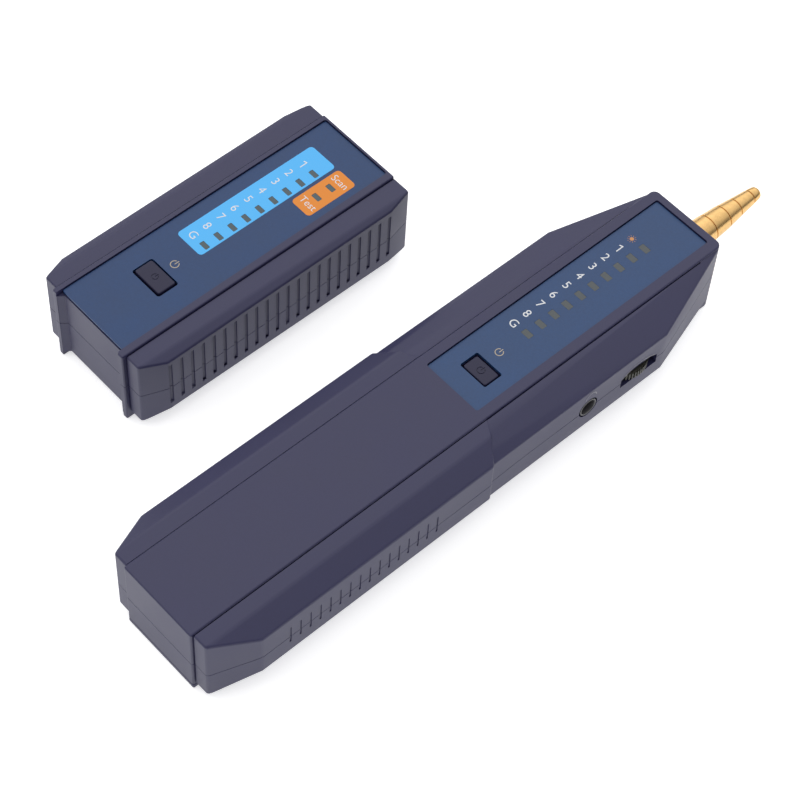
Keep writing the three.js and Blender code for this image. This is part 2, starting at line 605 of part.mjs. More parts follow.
{
  const top = T.height - LABEL_DROP;
  const { half, y } = transmitterLabel;
  const sheet = plate([-half, half], y, [top - LABEL_THICKNESS, top], 0.8);
  const opening = box(transmitterButton.x, transmitterButton.y, [20, 40]);
  const windows = [...transmitterWindows.map((place) => windowCutter(0, place, 20)),
    ...modeWindows.map((place) => windowCutter(modeWindowX, place, 20))];
  transmitter.add(meshOf('transmitter_label', cut(sheet, [opening, ...windows]), transmitterFilm));
}

{
  const { x, y } = transmitterButton;
  const middle = (x[0] + x[1]) / 2;
  const along = (y[0] + y[1]) / 2;
  const cap = plate([x[0] + GAP, x[1] - GAP], [y[0] + GAP, y[1] - GAP], [24.2, T.height], 0.6);
  const flange = plate([x[0] - 0.8, x[1] + 0.8], [y[0] - 0.8, y[1] + 0.8], [24.2, T.ceiling - GAP], 0.6);
  transmitter.add(meshOf('transmitter_button', cap.add(flange), casePlastic));
  const base = transmitterBoard.z[1] + GAP;
  const housing = box([middle - 3, middle + 3], [along - 3, along + 3], [base, base + 0.9]);
  const plunger = rod(1.7, 1.3, 'z', [middle, along, base + 0.1]);
  transmitter.add(meshOf('transmitter_button_switch', housing.add(plunger), blackPlastic));
}

{
  const [z0, z1] = transmitterBoard.z;
  transmitter.add(meshOf('transmitter_main_board', box([-14.2, 14.2], transmitterBoard.y, [z0, z1]), boardGreen));
  const ends = [transmitterWindows[0] - 2, transmitterWindows.at(-1) + 2];
  const base = z1 + GAP;
  const strip = unite([
    box([-1.9, 1.9], ends, [base, base + 0.5]),
    box([modeWindowX - 1.9, modeWindowX + 1.9], [modeWindows[0] - 2, modeWindows[1] + 2], [base, base + 0.5]),
    box([1, modeWindowX], [77, 80], [base, base + 0.5]),
    ...transmitterWindows.map((y) => box([-1.2, 1.2], [y - 0.8, y + 0.8], [base, base + 1.2])),
    ...modeWindows.map((y) => box([modeWindowX - 1.2, modeWindowX + 1.2], [y - 0.8, y + 0.8], [base, base + 1.2])),
  ]);
  transmitter.add(meshOf('transmitter_led_strip', strip, ledPlastic));
  const guideZ = [23.7, T.ceiling - GAP];
  const guideTop = T.height - LABEL_DROP - 0.1;
  transmitter.add(meshOf('transmitter_light_guide',
    lightGuide(0, transmitterWindows, 2.0, guideZ, guideTop), clearPlastic));
  transmitter.add(meshOf('transmitter_mode_light_guide',
    lightGuide(modeWindowX, modeWindows, 2.0, guideZ, guideTop), clearPlastic));
}

// network socket and telephone socket side by side in the far end
for (const [name, jack, cavity, count] of [
  ['network', networkJack, 11.8, 8], ['phone', phoneJack, 9.8, 4]]) {
  const depth = 15.8;
  const toEnd = (body) => body.translate([jack.x, jackFace, 0]);
  transmitter.add(meshOf(`transmitter_${name}_socket`,
    toEnd(modularJack(jack.width, cavity, depth, jackHeight)), blackPlastic));
  transmitter.add(meshOf(`transmitter_${name}_contacts`,
    toEnd(jackContacts(count, 1.02, depth, jackHeight[1] - 1.2)), gold));
}

{
  const floor = transmitterDoor.z[1] + 2 * GAP;
  const middle = floor + BATTERY.height / 2;
  const end = transmitterBay.y[0] + 1 + BATTERY.length;
  transmitter.add(battery('transmitter_battery', transmitterBay.y[0] + 1, floor));
  transmitter.add(batterySnap('transmitter_battery_snap', end + GAP, middle));
  for (const [name, x, material] of [['red', 4, redWire], ['black', -4, blackWire]]) {
    const start = end + 2 * GAP + 2.6;
    const wire = lead([[x, start + 1, middle + 3], [x, start + 4, middle + 4], [x, start + 7, 17],
      [x, start + 8, transmitterBoard.z[0] - 1]]);
    transmitter.add(meshOf(`transmitter_battery_lead_${name}`, wire, material));
  }
}

{
  const { half, y, z } = transmitterDoor;
  const sheet = box([-half, half], y, z);
  const grips = [0, 1, 2].map((i) => box([-6, 6], [y[0] + 5 + 2 * i, y[0] + 6 + 2 * i], [-1, 0.5]));
  transmitter.add(meshOf('transmitter_battery_door', cut(sheet, grips), casePlastic));
}

transmitterScrews.forEach(([x, y, seat], i) => {
  transmitter.add(caseScrew(`transmitter_case_screw_${i + 1}`, x, y, seat));
});

// ---- the pair, centred on the origin ----
const span = R.rearHalf + UNIT_SPACING + T.wallHalf;
receiver.position.set(span / 2 - R.rearHalf, -PROBE_TIP_Y / 2, 0);
transmitter.position.set(-span / 2 + T.wallHalf, TRANSMITTER_Y - PROBE_TIP_Y / 2, 0);

const group = new THREE.Group();
group.add(receiver, transmitter);

export default group;
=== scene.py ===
import math

import bpy
from mathutils import Matrix, Vector


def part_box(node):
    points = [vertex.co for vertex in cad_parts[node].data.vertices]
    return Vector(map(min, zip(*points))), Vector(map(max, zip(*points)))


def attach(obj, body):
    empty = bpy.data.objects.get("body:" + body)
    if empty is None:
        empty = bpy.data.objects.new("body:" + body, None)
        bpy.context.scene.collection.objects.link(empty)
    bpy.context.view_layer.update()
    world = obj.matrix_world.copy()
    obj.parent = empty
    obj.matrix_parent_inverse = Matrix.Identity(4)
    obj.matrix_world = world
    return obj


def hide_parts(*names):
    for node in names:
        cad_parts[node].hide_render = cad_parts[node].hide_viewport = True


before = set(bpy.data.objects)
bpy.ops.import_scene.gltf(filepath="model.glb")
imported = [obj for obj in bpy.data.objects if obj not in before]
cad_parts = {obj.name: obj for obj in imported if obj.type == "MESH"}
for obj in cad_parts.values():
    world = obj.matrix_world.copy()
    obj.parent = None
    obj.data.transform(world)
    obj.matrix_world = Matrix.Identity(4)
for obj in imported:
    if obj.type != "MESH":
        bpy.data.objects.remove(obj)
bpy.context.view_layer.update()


# Receiver case, outer form. Two moulded halves of fine-grained dark plastic make one closed body:
# a straight centre block with sloping shoulders on both sides, wide at the battery end, drawn in at
# the waist and tapered to the nose. Shaped here in millimetres, with the tail of the unit at Y 0.
MILLIMETRE = 0.001
BLOCK_HALF = 13.35
BLOCK_LENGTH = 192.0
RECEIVER_HEIGHT = 27.3
REAR_WALL, FRONT_WALL = 24.3, 23.6
WALL = 2.0
EDGE_ROUNDING, BLOCK_ROUNDING, BLOCK_CORNER = 0.7, 0.55, 2.0
WELD_DISTANCE, SAME_PLACE = 0.0005, 0.01
# Where cutting tools end, well clear of both cases.
ABOVE, BELOW, OUTSIDE = 40, -1, 30


def tail_middle(node):
    """The point on the floor under the middle of a unit's tail, from which its pieces are measured."""
    low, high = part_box(node)
    return Vector(((low.x + high.x) / 2, low.y, 0))


unit_places = {"receiver": tail_middle("receiver_bottom_shell")}


def only(piece):
    """Leaves this piece alone selected and active."""
    bpy.ops.object.select_all(action="DESELECT")
    piece.select_set(True)
    bpy.context.view_layer.objects.active = piece


def brick(x, y, z):
    """A rectangular blank between two limits on each axis."""
    limits = (x, y, z)
    middle = [(low + high) / 2 for low, high in limits]
    bpy.ops.object.select_all(action="DESELECT")
    bpy.ops.mesh.primitive_cube_add(size=1, location=middle)
    piece = bpy.context.object
    piece.scale = [high - low for low, high in limits]
    bpy.ops.object.transform_apply()
    return piece


def tidy_faces(piece):
    """Welds points that lie together and turns every face outwards."""
    only(piece)
    bpy.ops.object.mode_set(mode="EDIT")
    bpy.ops.mesh.select_all(action="SELECT")
    bpy.ops.mesh.remove_doubles(threshold=WELD_DISTANCE)
    bpy.ops.mesh.normals_make_consistent(inside=False)
    bpy.ops.object.mode_set(mode="OBJECT")


def shave(piece, a, b, c):
    """Planes the blank flat through three points and keeps the side its middle is on."""
    a, b, c = Vector(a), Vector(b), Vector(c)
    corners = [vertex.co for vertex in piece.data.vertices]
    middle = sum(corners, Vector()) / len(corners)
    outward = (b - a).cross(c - a).normalized()
    if outward.dot(middle - a) > 0:
        outward.negate()
    only(piece)
    bpy.ops.object.mode_set(mode="EDIT")
    bpy.ops.mesh.select_all(action="SELECT")
    bpy.ops.mesh.bisect(plane_co=a, plane_no=outward, use_fill=True, clear_outer=True)
    bpy.ops.object.mode_set(mode="OBJECT")


def shave_both_sides(piece, *points):
    """The same flat on the right and, mirrored, on the left."""
    shave(piece, *points)
    shave(piece, *[(-x, y, z) for x, y, z in points])


def round_edges(piece, width, segments=3, angle=20):
    """Rounds every edge that turns by more than the angle."""
    only(piece)
    bpy.ops.object.modifier_add(type="BEVEL")
    rounding = piece.modifiers[-1]
    rounding.width = width
    rounding.segments = segments
    rounding.limit_method = "ANGLE"
    rounding.angle_limit = math.radians(angle)
    bpy.ops.object.modifier_apply(modifier=rounding.name)


def combine(piece, other, operation):
    """Cuts the other solid out of the piece, adds it, or keeps what they share."""
    only(piece)
    bpy.ops.object.modifier_add(type="BOOLEAN")
    join = piece.modifiers[-1]
    join.operation = operation
    join.solver = "EXACT"
    join.object = other
    bpy.ops.object.modifier_apply(modifier=join.name)
    bpy.data.objects.remove(other)


def as_one(pieces):
    """Solids that don't touch each other, gathered into one object."""
    bpy.ops.object.select_all(action="DESELECT")
    for piece in pieces:
        piece.select_set(True)
    bpy.context.view_layer.objects.active = pieces[0]
    if len(pieces) > 1:
        bpy.ops.object.join()
    return pieces[0]


def cut_away(piece, *tools):
    """Cuts several separate tools out of the piece at once."""
    combine(piece, as_one(list(tools)), "DIFFERENCE")


def copy_of(piece):
    """A second piece with its own mesh."""
    twin = piece.copy()
    twin.data = piece.data.copy()
    bpy.context.scene.collection.objects.link(twin)
    return twin


def rear_form(inset):
    """The battery end: tail corners, long side walls and the step in at the waist."""
    top, low = 27.0 - inset, 2.2 + inset
    ridge, wall = 18.2 - inset * 0.5, REAR_WALL - inset
    wall_top, wall_low = 23.8 - inset * 0.6, 7.7 + inset * 0.6
    tail, knee, waist, neck, throat = 0.8 + inset, 14.1 + inset * 0.4, 94, 98.5, 101.6
    form = brick((-wall, wall), (tail, throat), (low, top))
    shave_both_sides(form, (ridge, tail, top), (ridge, neck, top), (wall, waist, wall_top))
    shave_both_sides(form, (ridge, tail, low), (ridge, neck, low), (wall, waist, wall_low))
    shave_both_sides(form, (ridge, tail, low), (ridge, tail, top), (wall, knee, top))
    shave_both_sides(form, (wall, waist, low), (wall, waist, top), (ridge, neck, top))
    shave_both_sides(form, (ridge, neck, low), (ridge, neck, top), (BLOCK_HALF, throat, top))
    tidy_faces(form)
    return form


def front_form(inset):
    """The display end: its ridge runs in on a slow curve and the walls taper to the nose."""
    top = 26.8 if inset == 0 else 23.8
    low = 2.4 + inset
    wall, wall_top, wall_low = FRONT_WALL - inset, 23.5 - inset * 0.6, 7.9 + inset * 0.6
    turn, nose, nose_half = 160 - inset * 0.3, 190.9 - inset, 13.3 - inset
    nose_top, nose_low = min(26.7, top - inset), 3.6 + inset
    start, curve_start = 90, 105
    form = brick((-wall, wall), (start, nose), (low, top))
    shave_both_sides(form, (wall, turn, low), (wall, turn, top), (nose_half, nose, top))
    stations = [start, curve_start, 120, 133, 144, 154, 164, 173, 182]
    ridge = [(18.6 - 5.2 * max(0, (y - curve_start) / 77) ** 1.6 - inset, y) for y in stations]
    for (half, y), (next_half, next_y) in zip(ridge, ridge[1:]):
        shave_both_sides(form, (half, y, top), (next_half, next_y, top), (wall, turn, wall_top))
        shave_both_sides(form, (half, y, low), (next_half, next_y, low), (wall, turn, wall_low))
    end_half, end = ridge[-1]
    shave_both_sides(form, (wall, turn, wall_top), (end_half, end, top), (nose_half, nose, nose_top))
    shave_both_sides(form, (wall, turn, wall_low), (end_half, end, low), (nose_half, nose, nose_low))
    tidy_faces(form)
    return form


def pick_edges(piece, rule):
    """Goes to edit mode with just the edges selected whose two ends fit the rule."""
    only(piece)
    bpy.ops.object.mode_set(mode="EDIT")
    bpy.ops.mesh.select_mode(type="EDGE")
    bpy.ops.mesh.select_all(action="DESELECT")
    bpy.ops.object.mode_set(mode="OBJECT")
    for edge in piece.data.edges:
        first, second = (piece.data.vertices[i].co for i in edge.vertices)
        edge.select = rule(first, second)
    bpy.ops.object.mode_set(mode="EDIT")


def round_upright_corners(piece, rule, radius, segments=6):
    """Rounds the upright edges that fit the rule, as seen from above."""
    def upright(first, second):
        return (first.xy - second.xy).length < SAME_PLACE and rule(first)

    pick_edges(piece, upright)
    bpy.ops.mesh.bevel(offset=radius, segments=segments, affect="EDGES")
    bpy.ops.object.mode_set(mode="OBJECT")


receiver_body = rear_form(0)
round_edges(receiver_body, EDGE_ROUNDING)
receiver_front = front_form(0)
round_edges(receiver_front, EDGE_ROUNDING)
combine(receiver_body, receiver_front, "UNION")
centre_block = brick((-BLOCK_HALF, BLOCK_HALF), (0, BLOCK_LENGTH), (0, RECEIVER_HEIGHT))
round_upright_corners(centre_block, lambda place: place.y > BLOCK_LENGTH / 2, BLOCK_CORNER)
round_edges(centre_block, BLOCK_ROUNDING, angle=40)
combine(receiver_body, centre_block, "UNION")


# Receiver case, hollow and openings. The walls are two millimetres thick, with a ceiling under the
# label and a floor over the battery bay. The thin groove beside the centre block, the grip grooves
# and the openings for probe, earphones, volume wheel and cable are all moulded in.
RECEIVER_CEILING = 23.8
PROBE_AXIS = 13.5
JACK_Y, JACK_Z = 130.4, 16.2
WHEEL_X, WHEEL_Y, WHEEL_RADIUS = 16.2, 150.1, 8.0
WHEEL_LOW, WHEEL_TOP = 14.1, 16.5
SOCKET_Y = 131.0
GRIP_COUNT, GRIP_START, GRIP_PITCH, GRIP_HALF, GRIP_ROUNDING = 16, 23.4, 3.37, 0.3, 0.26
SLOT_HALF, MOUTH_HALF = 7, 6.4
SCOOP_RADIUS, SCOOP_CENTRE = 11.1, 8.2
NEAR_GROOVE, FAR_GROOVE = (BLOCK_HALF, BLOCK_HALF + 0.3), (-BLOCK_HALF - 0.14, -BLOCK_HALF)


def turned(profile, sides=48):
    """A round piece standing on Z, drawn up step by step through (radius, height) pairs."""
    radius, height = profile[0]
    bpy.ops.object.select_all(action="DESELECT")
    bpy.ops.mesh.primitive_circle_add(
        vertices=sides, radius=radius, fill_type="NGON", location=(0, 0, height))
    piece = bpy.context.object
    bpy.ops.object.transform_apply()
    bpy.ops.object.mode_set(mode="EDIT")
    bpy.ops.mesh.select_mode(type="FACE")
    bpy.ops.mesh.select_all(action="SELECT")
    for next_radius, next_height in profile[1:]:
        rise = {"value": (0, 0, next_height - height)}
        bpy.ops.mesh.extrude_region_move(TRANSFORM_OT_translate=rise)
        share = next_radius / radius
        bpy.ops.transform.resize(value=(share, share, 1), center_override=(0, 0, next_height))
        radius, height = next_radius, next_height
    bpy.ops.mesh.select_all(action="SELECT")
    bpy.ops.mesh.normals_make_consistent(inside=False)
    bpy.ops.object.mode_set(mode="OBJECT")
    return piece


def lay_along(piece, axis, place):
    """Turns a piece that stands on Z to point along +X or +Y, or leaves it, and moves it to its place."""
    turns = {"+x": (0, math.pi / 2, 0), "+y": (-math.pi / 2, 0, 0), "+z": (0, 0, 0)}
    only(piece)
    piece.rotation_euler = turns[axis]
    piece.location = place
    bpy.ops.object.transform_apply()
    return piece


def rounded_plate(x, y, z, corner, segments=6):
    """A flat plate with round corners."""
    plate = brick(x, y, z)
    round_upright_corners(plate, lambda place: True, corner, segments)
    return plate


def wall_grooves(wall, half, height, start, pitch, number, rounding, segments):
    """Cutters for the upright grooves along both side walls, with rounded floors."""
    def deep_and_upright(first, second):
        return max(abs(first.x), abs(second.x)) < wall and abs(first.y - second.y) < SAME_PLACE

    grooves = []
    for side in (-1, 1):
        for count in range(number):
            x, y = side * wall, start + pitch * count
            groove = brick((x - half, x + half), (y - half, y + half), height)
            pick_edges(groove, deep_and_upright)
            bpy.ops.mesh.bevel(offset=rounding, segments=segments, affect="EDGES")
            bpy.ops.object.mode_set(mode="OBJECT")
            grooves.append(groove)
    return grooves


cut_away(receiver_body, rear_form(WALL))
cut_away(receiver_body, front_form(WALL))
cut_away(receiver_body, brick((-13.15, 13.15), (68.5, 184), (WALL, 12)))
cut_away(receiver_body, brick((-8, 8), (178, 189), (5, 20)))
cut_away(receiver_body, *[brick(sides, (BELOW, 1.7), (BELOW, ABOVE)) for sides in (NEAR_GROOVE, FAR_GROOVE)])
cut_away(receiver_body, *[brick(sides, (1, 183), (low, ABOVE))
                          for sides, low in ((NEAR_GROOVE, 26.1), (FAR_GROOVE, 26.6))])
cut_away(receiver_body, *wall_grooves(REAR_WALL, GRIP_HALF, (12.4, 19.5), GRIP_START, GRIP_PITCH, GRIP_COUNT,
                                      GRIP_ROUNDING, 2))
probe_hole = lay_along(turned([(3.3, 0), (3.3, 20)]), "+y", (0, 180, PROBE_AXIS))
jack_hole = lay_along(turned([(3.45, 0), (3.45, 10)]), "+x", (19, JACK_Y, JACK_Z))
wheel_slot = brick((18, OUTSIDE), (WHEEL_Y - SLOT_HALF, WHEEL_Y + SLOT_HALF), (13.5, 17.0))
cable_mouth = brick((-OUTSIDE, -18), (SOCKET_Y - MOUTH_HALF, SOCKET_Y + MOUTH_HALF), (12.4, 21.1))
cut_away(receiver_body, probe_hole, jack_hole, wheel_slot, cable_mouth)
finger_scoop = turned([(SCOOP_RADIUS, 0), (SCOOP_RADIUS, 6)], 160)
lay_along(finger_scoop, "+x", (23.0, WHEEL_Y, SCOOP_CENTRE))
scoop_room = brick((20, OUTSIDE), (WHEEL_Y - SLOT_HALF, WHEEL_Y + SLOT_HALF), (16.0, 21))
combine(finger_scoop, scoop_room, "INTERSECT")
cut_away(receiver_body, finger_scoop)


# Receiver case, the two halves. The seam runs along the side walls and dips at the tail. Four screws
# come up from below through pillars in the bottom half into pillars in the top half.
SEAM_GAP = 0.2
SEAM_LINE = [(0.8, 12.4), (14.1, 15.0), (95, 15.0), (104, 15.5)]
SCREW_HEAD, SCREW_SHANK, SCREW_HEAD_HEIGHT = 2.5, 1.25, 1.8
PILLAR_JOINT, PILLAR_GAP = 9.0, 0.3
BLANK_HALF = 40
LOWER_PILLAR, UPPER_PILLAR, SCREW_HOLE = 3.2, 2.8, 1.55
REAR_CEILING = RECEIVER_HEIGHT - 0.3 - WALL
RECEIVER_SCREWS = [(-9.5, 8.5, 5.2, REAR_CEILING), (9.5, 8.5, 5.2, REAR_CEILING),
                   (-9, 179, 4.5, RECEIVER_CEILING), (9, 179, 4.5, RECEIVER_CEILING)]


def pick_points(piece, rule):
    """Goes to edit mode with just the points selected that fit the rule."""
    only(piece)
    bpy.ops.object.mode_set(mode="EDIT")
    bpy.ops.mesh.select_mode(type="VERT")
    bpy.ops.mesh.select_all(action="DESELECT")
    bpy.ops.object.mode_set(mode="OBJECT")
    for vertex in piece.data.vertices:
        vertex.select = rule(vertex.co)
    bpy.ops.object.mode_set(mode="EDIT")


def below_seam(line, shift):
    """A blank that fills everything under the seam line, raised by the shift."""
    height = line[0][1]
    blank = brick((-BLANK_HALF, BLANK_HALF), (-20, 230), (-10, height + shift))
    for y, _ in line:
        only(blank)
        bpy.ops.object.mode_set(mode="EDIT")
        bpy.ops.mesh.select_all(action="SELECT")
        bpy.ops.mesh.bisect(plane_co=(0, y, 0), plane_no=(0, 1, 0))
        bpy.ops.object.mode_set(mode="OBJECT")
    for index, (y, z) in enumerate(line):
        beyond = line[index + 1][0] if index + 1 < len(line) else math.inf
        pick_points(blank, lambda co: co.z > 0 and y - SAME_PLACE < co.y < beyond - SAME_PLACE)
        bpy.ops.transform.translate(value=(0, 0, z - height))
        bpy.ops.object.mode_set(mode="OBJECT")
    return blank


def split_at_seam(body, line):
    """The bottom half, and what is left of the body as the top half."""
    bottom = copy_of(body)
    combine(bottom, below_seam(line, -SEAM_GAP / 2), "INTERSECT")
    combine(body, below_seam(line, SEAM_GAP / 2), "DIFFERENCE")
    return body, bottom


def add_pillars(top, bottom, screws, foot):
    """Screw pillars in both halves, and the stepped holes through them."""
    mouth = SCREW_HEAD + 0.3
    holes = []
    for x, y, seat, ceiling in screws:
        lower = turned([(LOWER_PILLAR, foot), (LOWER_PILLAR, PILLAR_JOINT)], 32)
        combine(bottom, lay_along(lower, "+z", (x, y, 0)), "UNION")
        upper = turned([(UPPER_PILLAR, PILLAR_JOINT + PILLAR_GAP), (UPPER_PILLAR, ceiling + 0.5)], 32)
        combine(top, lay_along(upper, "+z", (x, y, 0)), "UNION")
        hole = turned([(mouth, -5), (mouth, seat), (SCREW_HOLE, seat), (SCREW_HOLE, 17)], 32)
        holes.append(lay_along(hole, "+z", (x, y, 0)))
    tool = as_one(holes)
    combine(top, copy_of(tool), "DIFFERENCE")
    combine(bottom, tool, "DIFFERENCE")


receiver_top, receiver_bottom = split_at_seam(receiver_body, SEAM_LINE)
combine(receiver_bottom, brick((-13.2, 13.2), (68.5, 70.1), (WALL - 0.5, 12)), "UNION")
combine(receiver_bottom, brick((-20, 20), (68.4, 70.2), (3.9, 12)), "UNION")
add_pillars(receiver_top, receiver_bottom, RECEIVER_SCREWS, 1.8)


# Receiver case, label recess, button opening and light windows in the top half; battery bay, step for
# the battery door and sound slots in the bottom half. Both halves then get the same moulded plastic,
# a dark grey-blue with a very fine grain.
LABEL_HALF, LABEL_START, LABEL_END = 9.75, 100.9, 189.3
LABEL_DROP, LABEL_THICKNESS, LABEL_BED = 0.55, 0.8, 0.3
LABEL_MARGIN, LABEL_END_MARGIN, FILM_MARGIN = 0.25, 0.22, 0.1
WINDOW, WINDOW_CORNER = (3.2, 2.0), 0.25
BUTTON = (-4.4, 5.5, 107.8, 114.3)
THROUGH_ROOF = (20, ABOVE)
CASE_COLOUR = (0.0215, 0.0208, 0.070)
CLOUD_SCALE, GRAIN_STRENGTH, SMOOTH_BELOW = 70, 0.6, 35
receiver_windows = [(-0.05, 128.9 + 5.06 * count) for count in range(10)]
receiver_button_hole = (BUTTON[:2], BUTTON[2:], THROUGH_ROOF, 0.6)


def window_tools(windows, size):
    """One upright cutter for each light window."""
    across, along = size[0] / 2, size[1] / 2
    return [rounded_plate((x - across, x + across), (y - along, y + along), THROUGH_ROOF, WINDOW_CORNER, 3)
            for x, y in windows]


def finish_of(name, colour, roughness, metal=0.0, cloud=0.06, grain=0.0005, relief=0.00002, uneven=0.05):
    """A finish: a faintly cloudy colour, a fine surface grain and gloss that is a little uneven."""
    finish = bpy.data.materials.new(name)
    finish.use_nodes = True
    nodes, links = finish.node_tree.nodes, finish.node_tree.links
    shader = nodes["Principled BSDF"]
    shader.inputs["Metallic"].default_value = metal
    place = nodes.new("ShaderNodeTexCoord")
    clouds = nodes.new("ShaderNodeTexNoise")
    clouds.inputs["Scale"].default_value = CLOUD_SCALE
    clouds.inputs["Detail"].default_value = 3
    links.new(place.outputs["Object"], clouds.inputs["Vector"])
    fine = nodes.new("ShaderNodeTexNoise")
    fine.inputs["Scale"].default_value = 1 / grain
    fine.inputs["Detail"].default_value = 2
    links.new(place.outputs["Object"], fine.inputs["Vector"])
    both = nodes.new("ShaderNodeMath")
    both.operation = "MULTIPLY_ADD"
    both.inputs[1].default_value = 0.5
    links.new(clouds.outputs["Fac"], both.inputs[0])
    halved = nodes.new("ShaderNodeMath")
    halved.operation = "MULTIPLY"
    halved.inputs[1].default_value = 0.5
    links.new(fine.outputs["Fac"], halved.inputs[0])
    links.new(halved.outputs["Value"], both.inputs[2])
    tone = nodes.new("ShaderNodeMix")
    tone.data_type = "RGBA"
    tone.inputs["A"].default_value = (*[value * (1 - 2 * cloud) for value in colour], 1)
    tone.inputs["B"].default_value = (*[min(1, value * (1 + 2 * cloud)) for value in colour], 1)
    links.new(both.outputs["Value"], tone.inputs["Factor"])
    links.new(tone.outputs["Result"], shader.inputs["Base Color"])
    gloss = nodes.new("ShaderNodeMapRange")
    gloss.inputs["To Min"].default_value = roughness - uneven
    gloss.inputs["To Max"].default_value = roughness + uneven
    links.new(clouds.outputs["Fac"], gloss.inputs["Value"])
    links.new(gloss.outputs["Result"], shader.inputs["Roughness"])
    bump = nodes.new("ShaderNodeBump")
    bump.inputs["Strength"].default_value = GRAIN_STRENGTH
    bump.inputs["Distance"].default_value = relief
    links.new(fine.outputs["Fac"], bump.inputs["Height"])
    links.new(bump.outputs["Normal"], shader.inputs["Normal"])
    return finish


def settle(piece, name, finish, slot, body, *nodes):
    """Turns the finished piece from millimetres to metres at its unit's place, and fixes it to its body."""
    tidy_faces(piece)
    piece.scale = (MILLIMETRE, MILLIMETRE, MILLIMETRE)
    piece.location = unit_places[body.split("_")[0]]
    bpy.ops.object.transform_apply()
    bpy.ops.object.shade_smooth_by_angle(angle=math.radians(SMOOTH_BELOW))
    bpy.ops.object.modifier_add(type="WEIGHTED_NORMAL")
    shading = piece.modifiers[-1]
    shading.keep_sharp = True
    bpy.ops.object.modifier_apply(modifier=shading.name)
    piece.data.materials.clear()
    piece.data.materials.append(finish)
    piece.name = name
    piece.data.name = name
    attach(piece, body)
    if nodes:
        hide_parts(*nodes)


case_plastic = finish_of("moulded case plastic", CASE_COLOUR, 0.46, cloud=0.08)
recess_floor = RECEIVER_HEIGHT - LABEL_DROP - LABEL_THICKNESS - LABEL_BED
recess = rounded_plate((-LABEL_HALF - LABEL_MARGIN, LABEL_HALF + LABEL_MARGIN),
                       (LABEL_START - LABEL_MARGIN, LABEL_END + LABEL_END_MARGIN), (recess_floor, ABOVE), 0.7)
cut_away(receiver_top, recess)
cut_away(receiver_top, rounded_plate(*receiver_button_hole))
cut_away(receiver_top, *window_tools(receiver_windows, WINDOW))
cut_away(receiver_bottom, brick((-OUTSIDE, OUTSIDE), (BELOW, 67.3), (BELOW, 2.1)))
cut_away(receiver_bottom, brick((-13.6, 13.6), (14.5, 64.5), (BELOW, 6)))
SOUND_SLOT_Y, SOUND_SLOT_PITCH, SOUND_SLOT_HALF = 83.5, 3.4, 0.8
slot_middles = [SOUND_SLOT_Y + SOUND_SLOT_PITCH * row for row in (-2, -1, 0, 1, 2)]
sound_slots = [rounded_plate((-8, 8), (y - SOUND_SLOT_HALF, y + SOUND_SLOT_HALF), (BELOW, 3), 0.7)
               for y in slot_middles]
cut_away(receiver_bottom, *sound_slots)
settle(receiver_top, "receiver_upper_case", case_plastic, "case", "receiver", "receiver_top_shell")
settle(receiver_bottom, "receiver_lower_case", case_plastic, "case", "receiver", "receiver_bottom_shell")


# Receiver label. A printed plastic film stuck in its recess, dark steel blue, with an opening for the
# button and clear windows over the lights.
label_top = RECEIVER_HEIGHT - LABEL_DROP


def film_of(name, colour):
    """Printed film: cloudier and smoother than the case."""
    return finish_of(name, colour, 0.45, cloud=0.14, grain=0.0007, relief=0.000014)


def label_film(x, y, top, corner, button_hole, windows, size):
    """A film with soft edges, open for the button and the lights."""
    film = rounded_plate(x, y, (top - LABEL_THICKNESS, top), corner)
    round_edges(film, 0.12, 2, angle=50)
    cut_away(film, rounded_plate(*button_hole))
    cut_away(film, *window_tools(windows, size))
    return film


receiver_film = film_of("receiver label film", (0.010, 0.046, 0.142))
receiver_label = label_film((-LABEL_HALF - FILM_MARGIN, LABEL_HALF + FILM_MARGIN),
                            (LABEL_START - FILM_MARGIN, LABEL_END + FILM_MARGIN), label_top, 0.6,
                            receiver_button_hole, receiver_windows, WINDOW)
settle(receiver_label, "receiver_display_label", receiver_film, "receiver_film", "receiver",
       "receiver_label")


# Receiver light guide. One clear moulding: a bar under the ceiling with a post up into each window,
# smoked where the film covers its tips so the unlit lights look dull and greenish grey.
smoked_window = finish_of("smoked window", (0.060, 0.070, 0.075), 0.35, cloud=0.10, grain=0.0007)
POST_GAP, POST_DROP = 0.04, 0.02


def light_guide(windows, size, bar_half, bar_low, bar_top, film_top):
    """A bar with one rounded post for each window it serves."""
    x = windows[0][0]
    guide = brick((x - bar_half, x + bar_half), (windows[0][1] - 2, windows[-1][1] + 2), (bar_low, bar_top))
    round_edges(guide, 0.25, 2, angle=50)
    across, along = size[0] / 2 - POST_GAP, size[1] / 2 - POST_GAP
    height = (bar_low + 0.5, film_top - POST_DROP)
    posts = [rounded_plate((x - across, x + across), (y - along, y + along), height, 0.22, 3)
             for x, y in windows]
    combine(guide, as_one(posts), "UNION")
    return guide


receiver_guide = light_guide(receiver_windows, WINDOW, 2.6, 22, 23.5, label_top)
settle(receiver_guide, "receiver_window_strip", smoked_window, "clear_plastic", "receiver",
       "receiver_light_guide")


# Push buttons. A moulded cap with a power sign sunk in its top, on a flange that keeps it in the case
# and, in the receiver, a stem that reaches down to the switch.
button_plastic = finish_of("button plastic", (0.012, 0.011, 0.040), 0.42, grain=0.0004)
button_plastic.node_tree.nodes["Principled BSDF"].inputs["Specular IOR Level"].default_value = 0.35
BUTTON_GAP, FLANGE_LIP, SIGN_LINE = 0.55, 0.8, 0.26


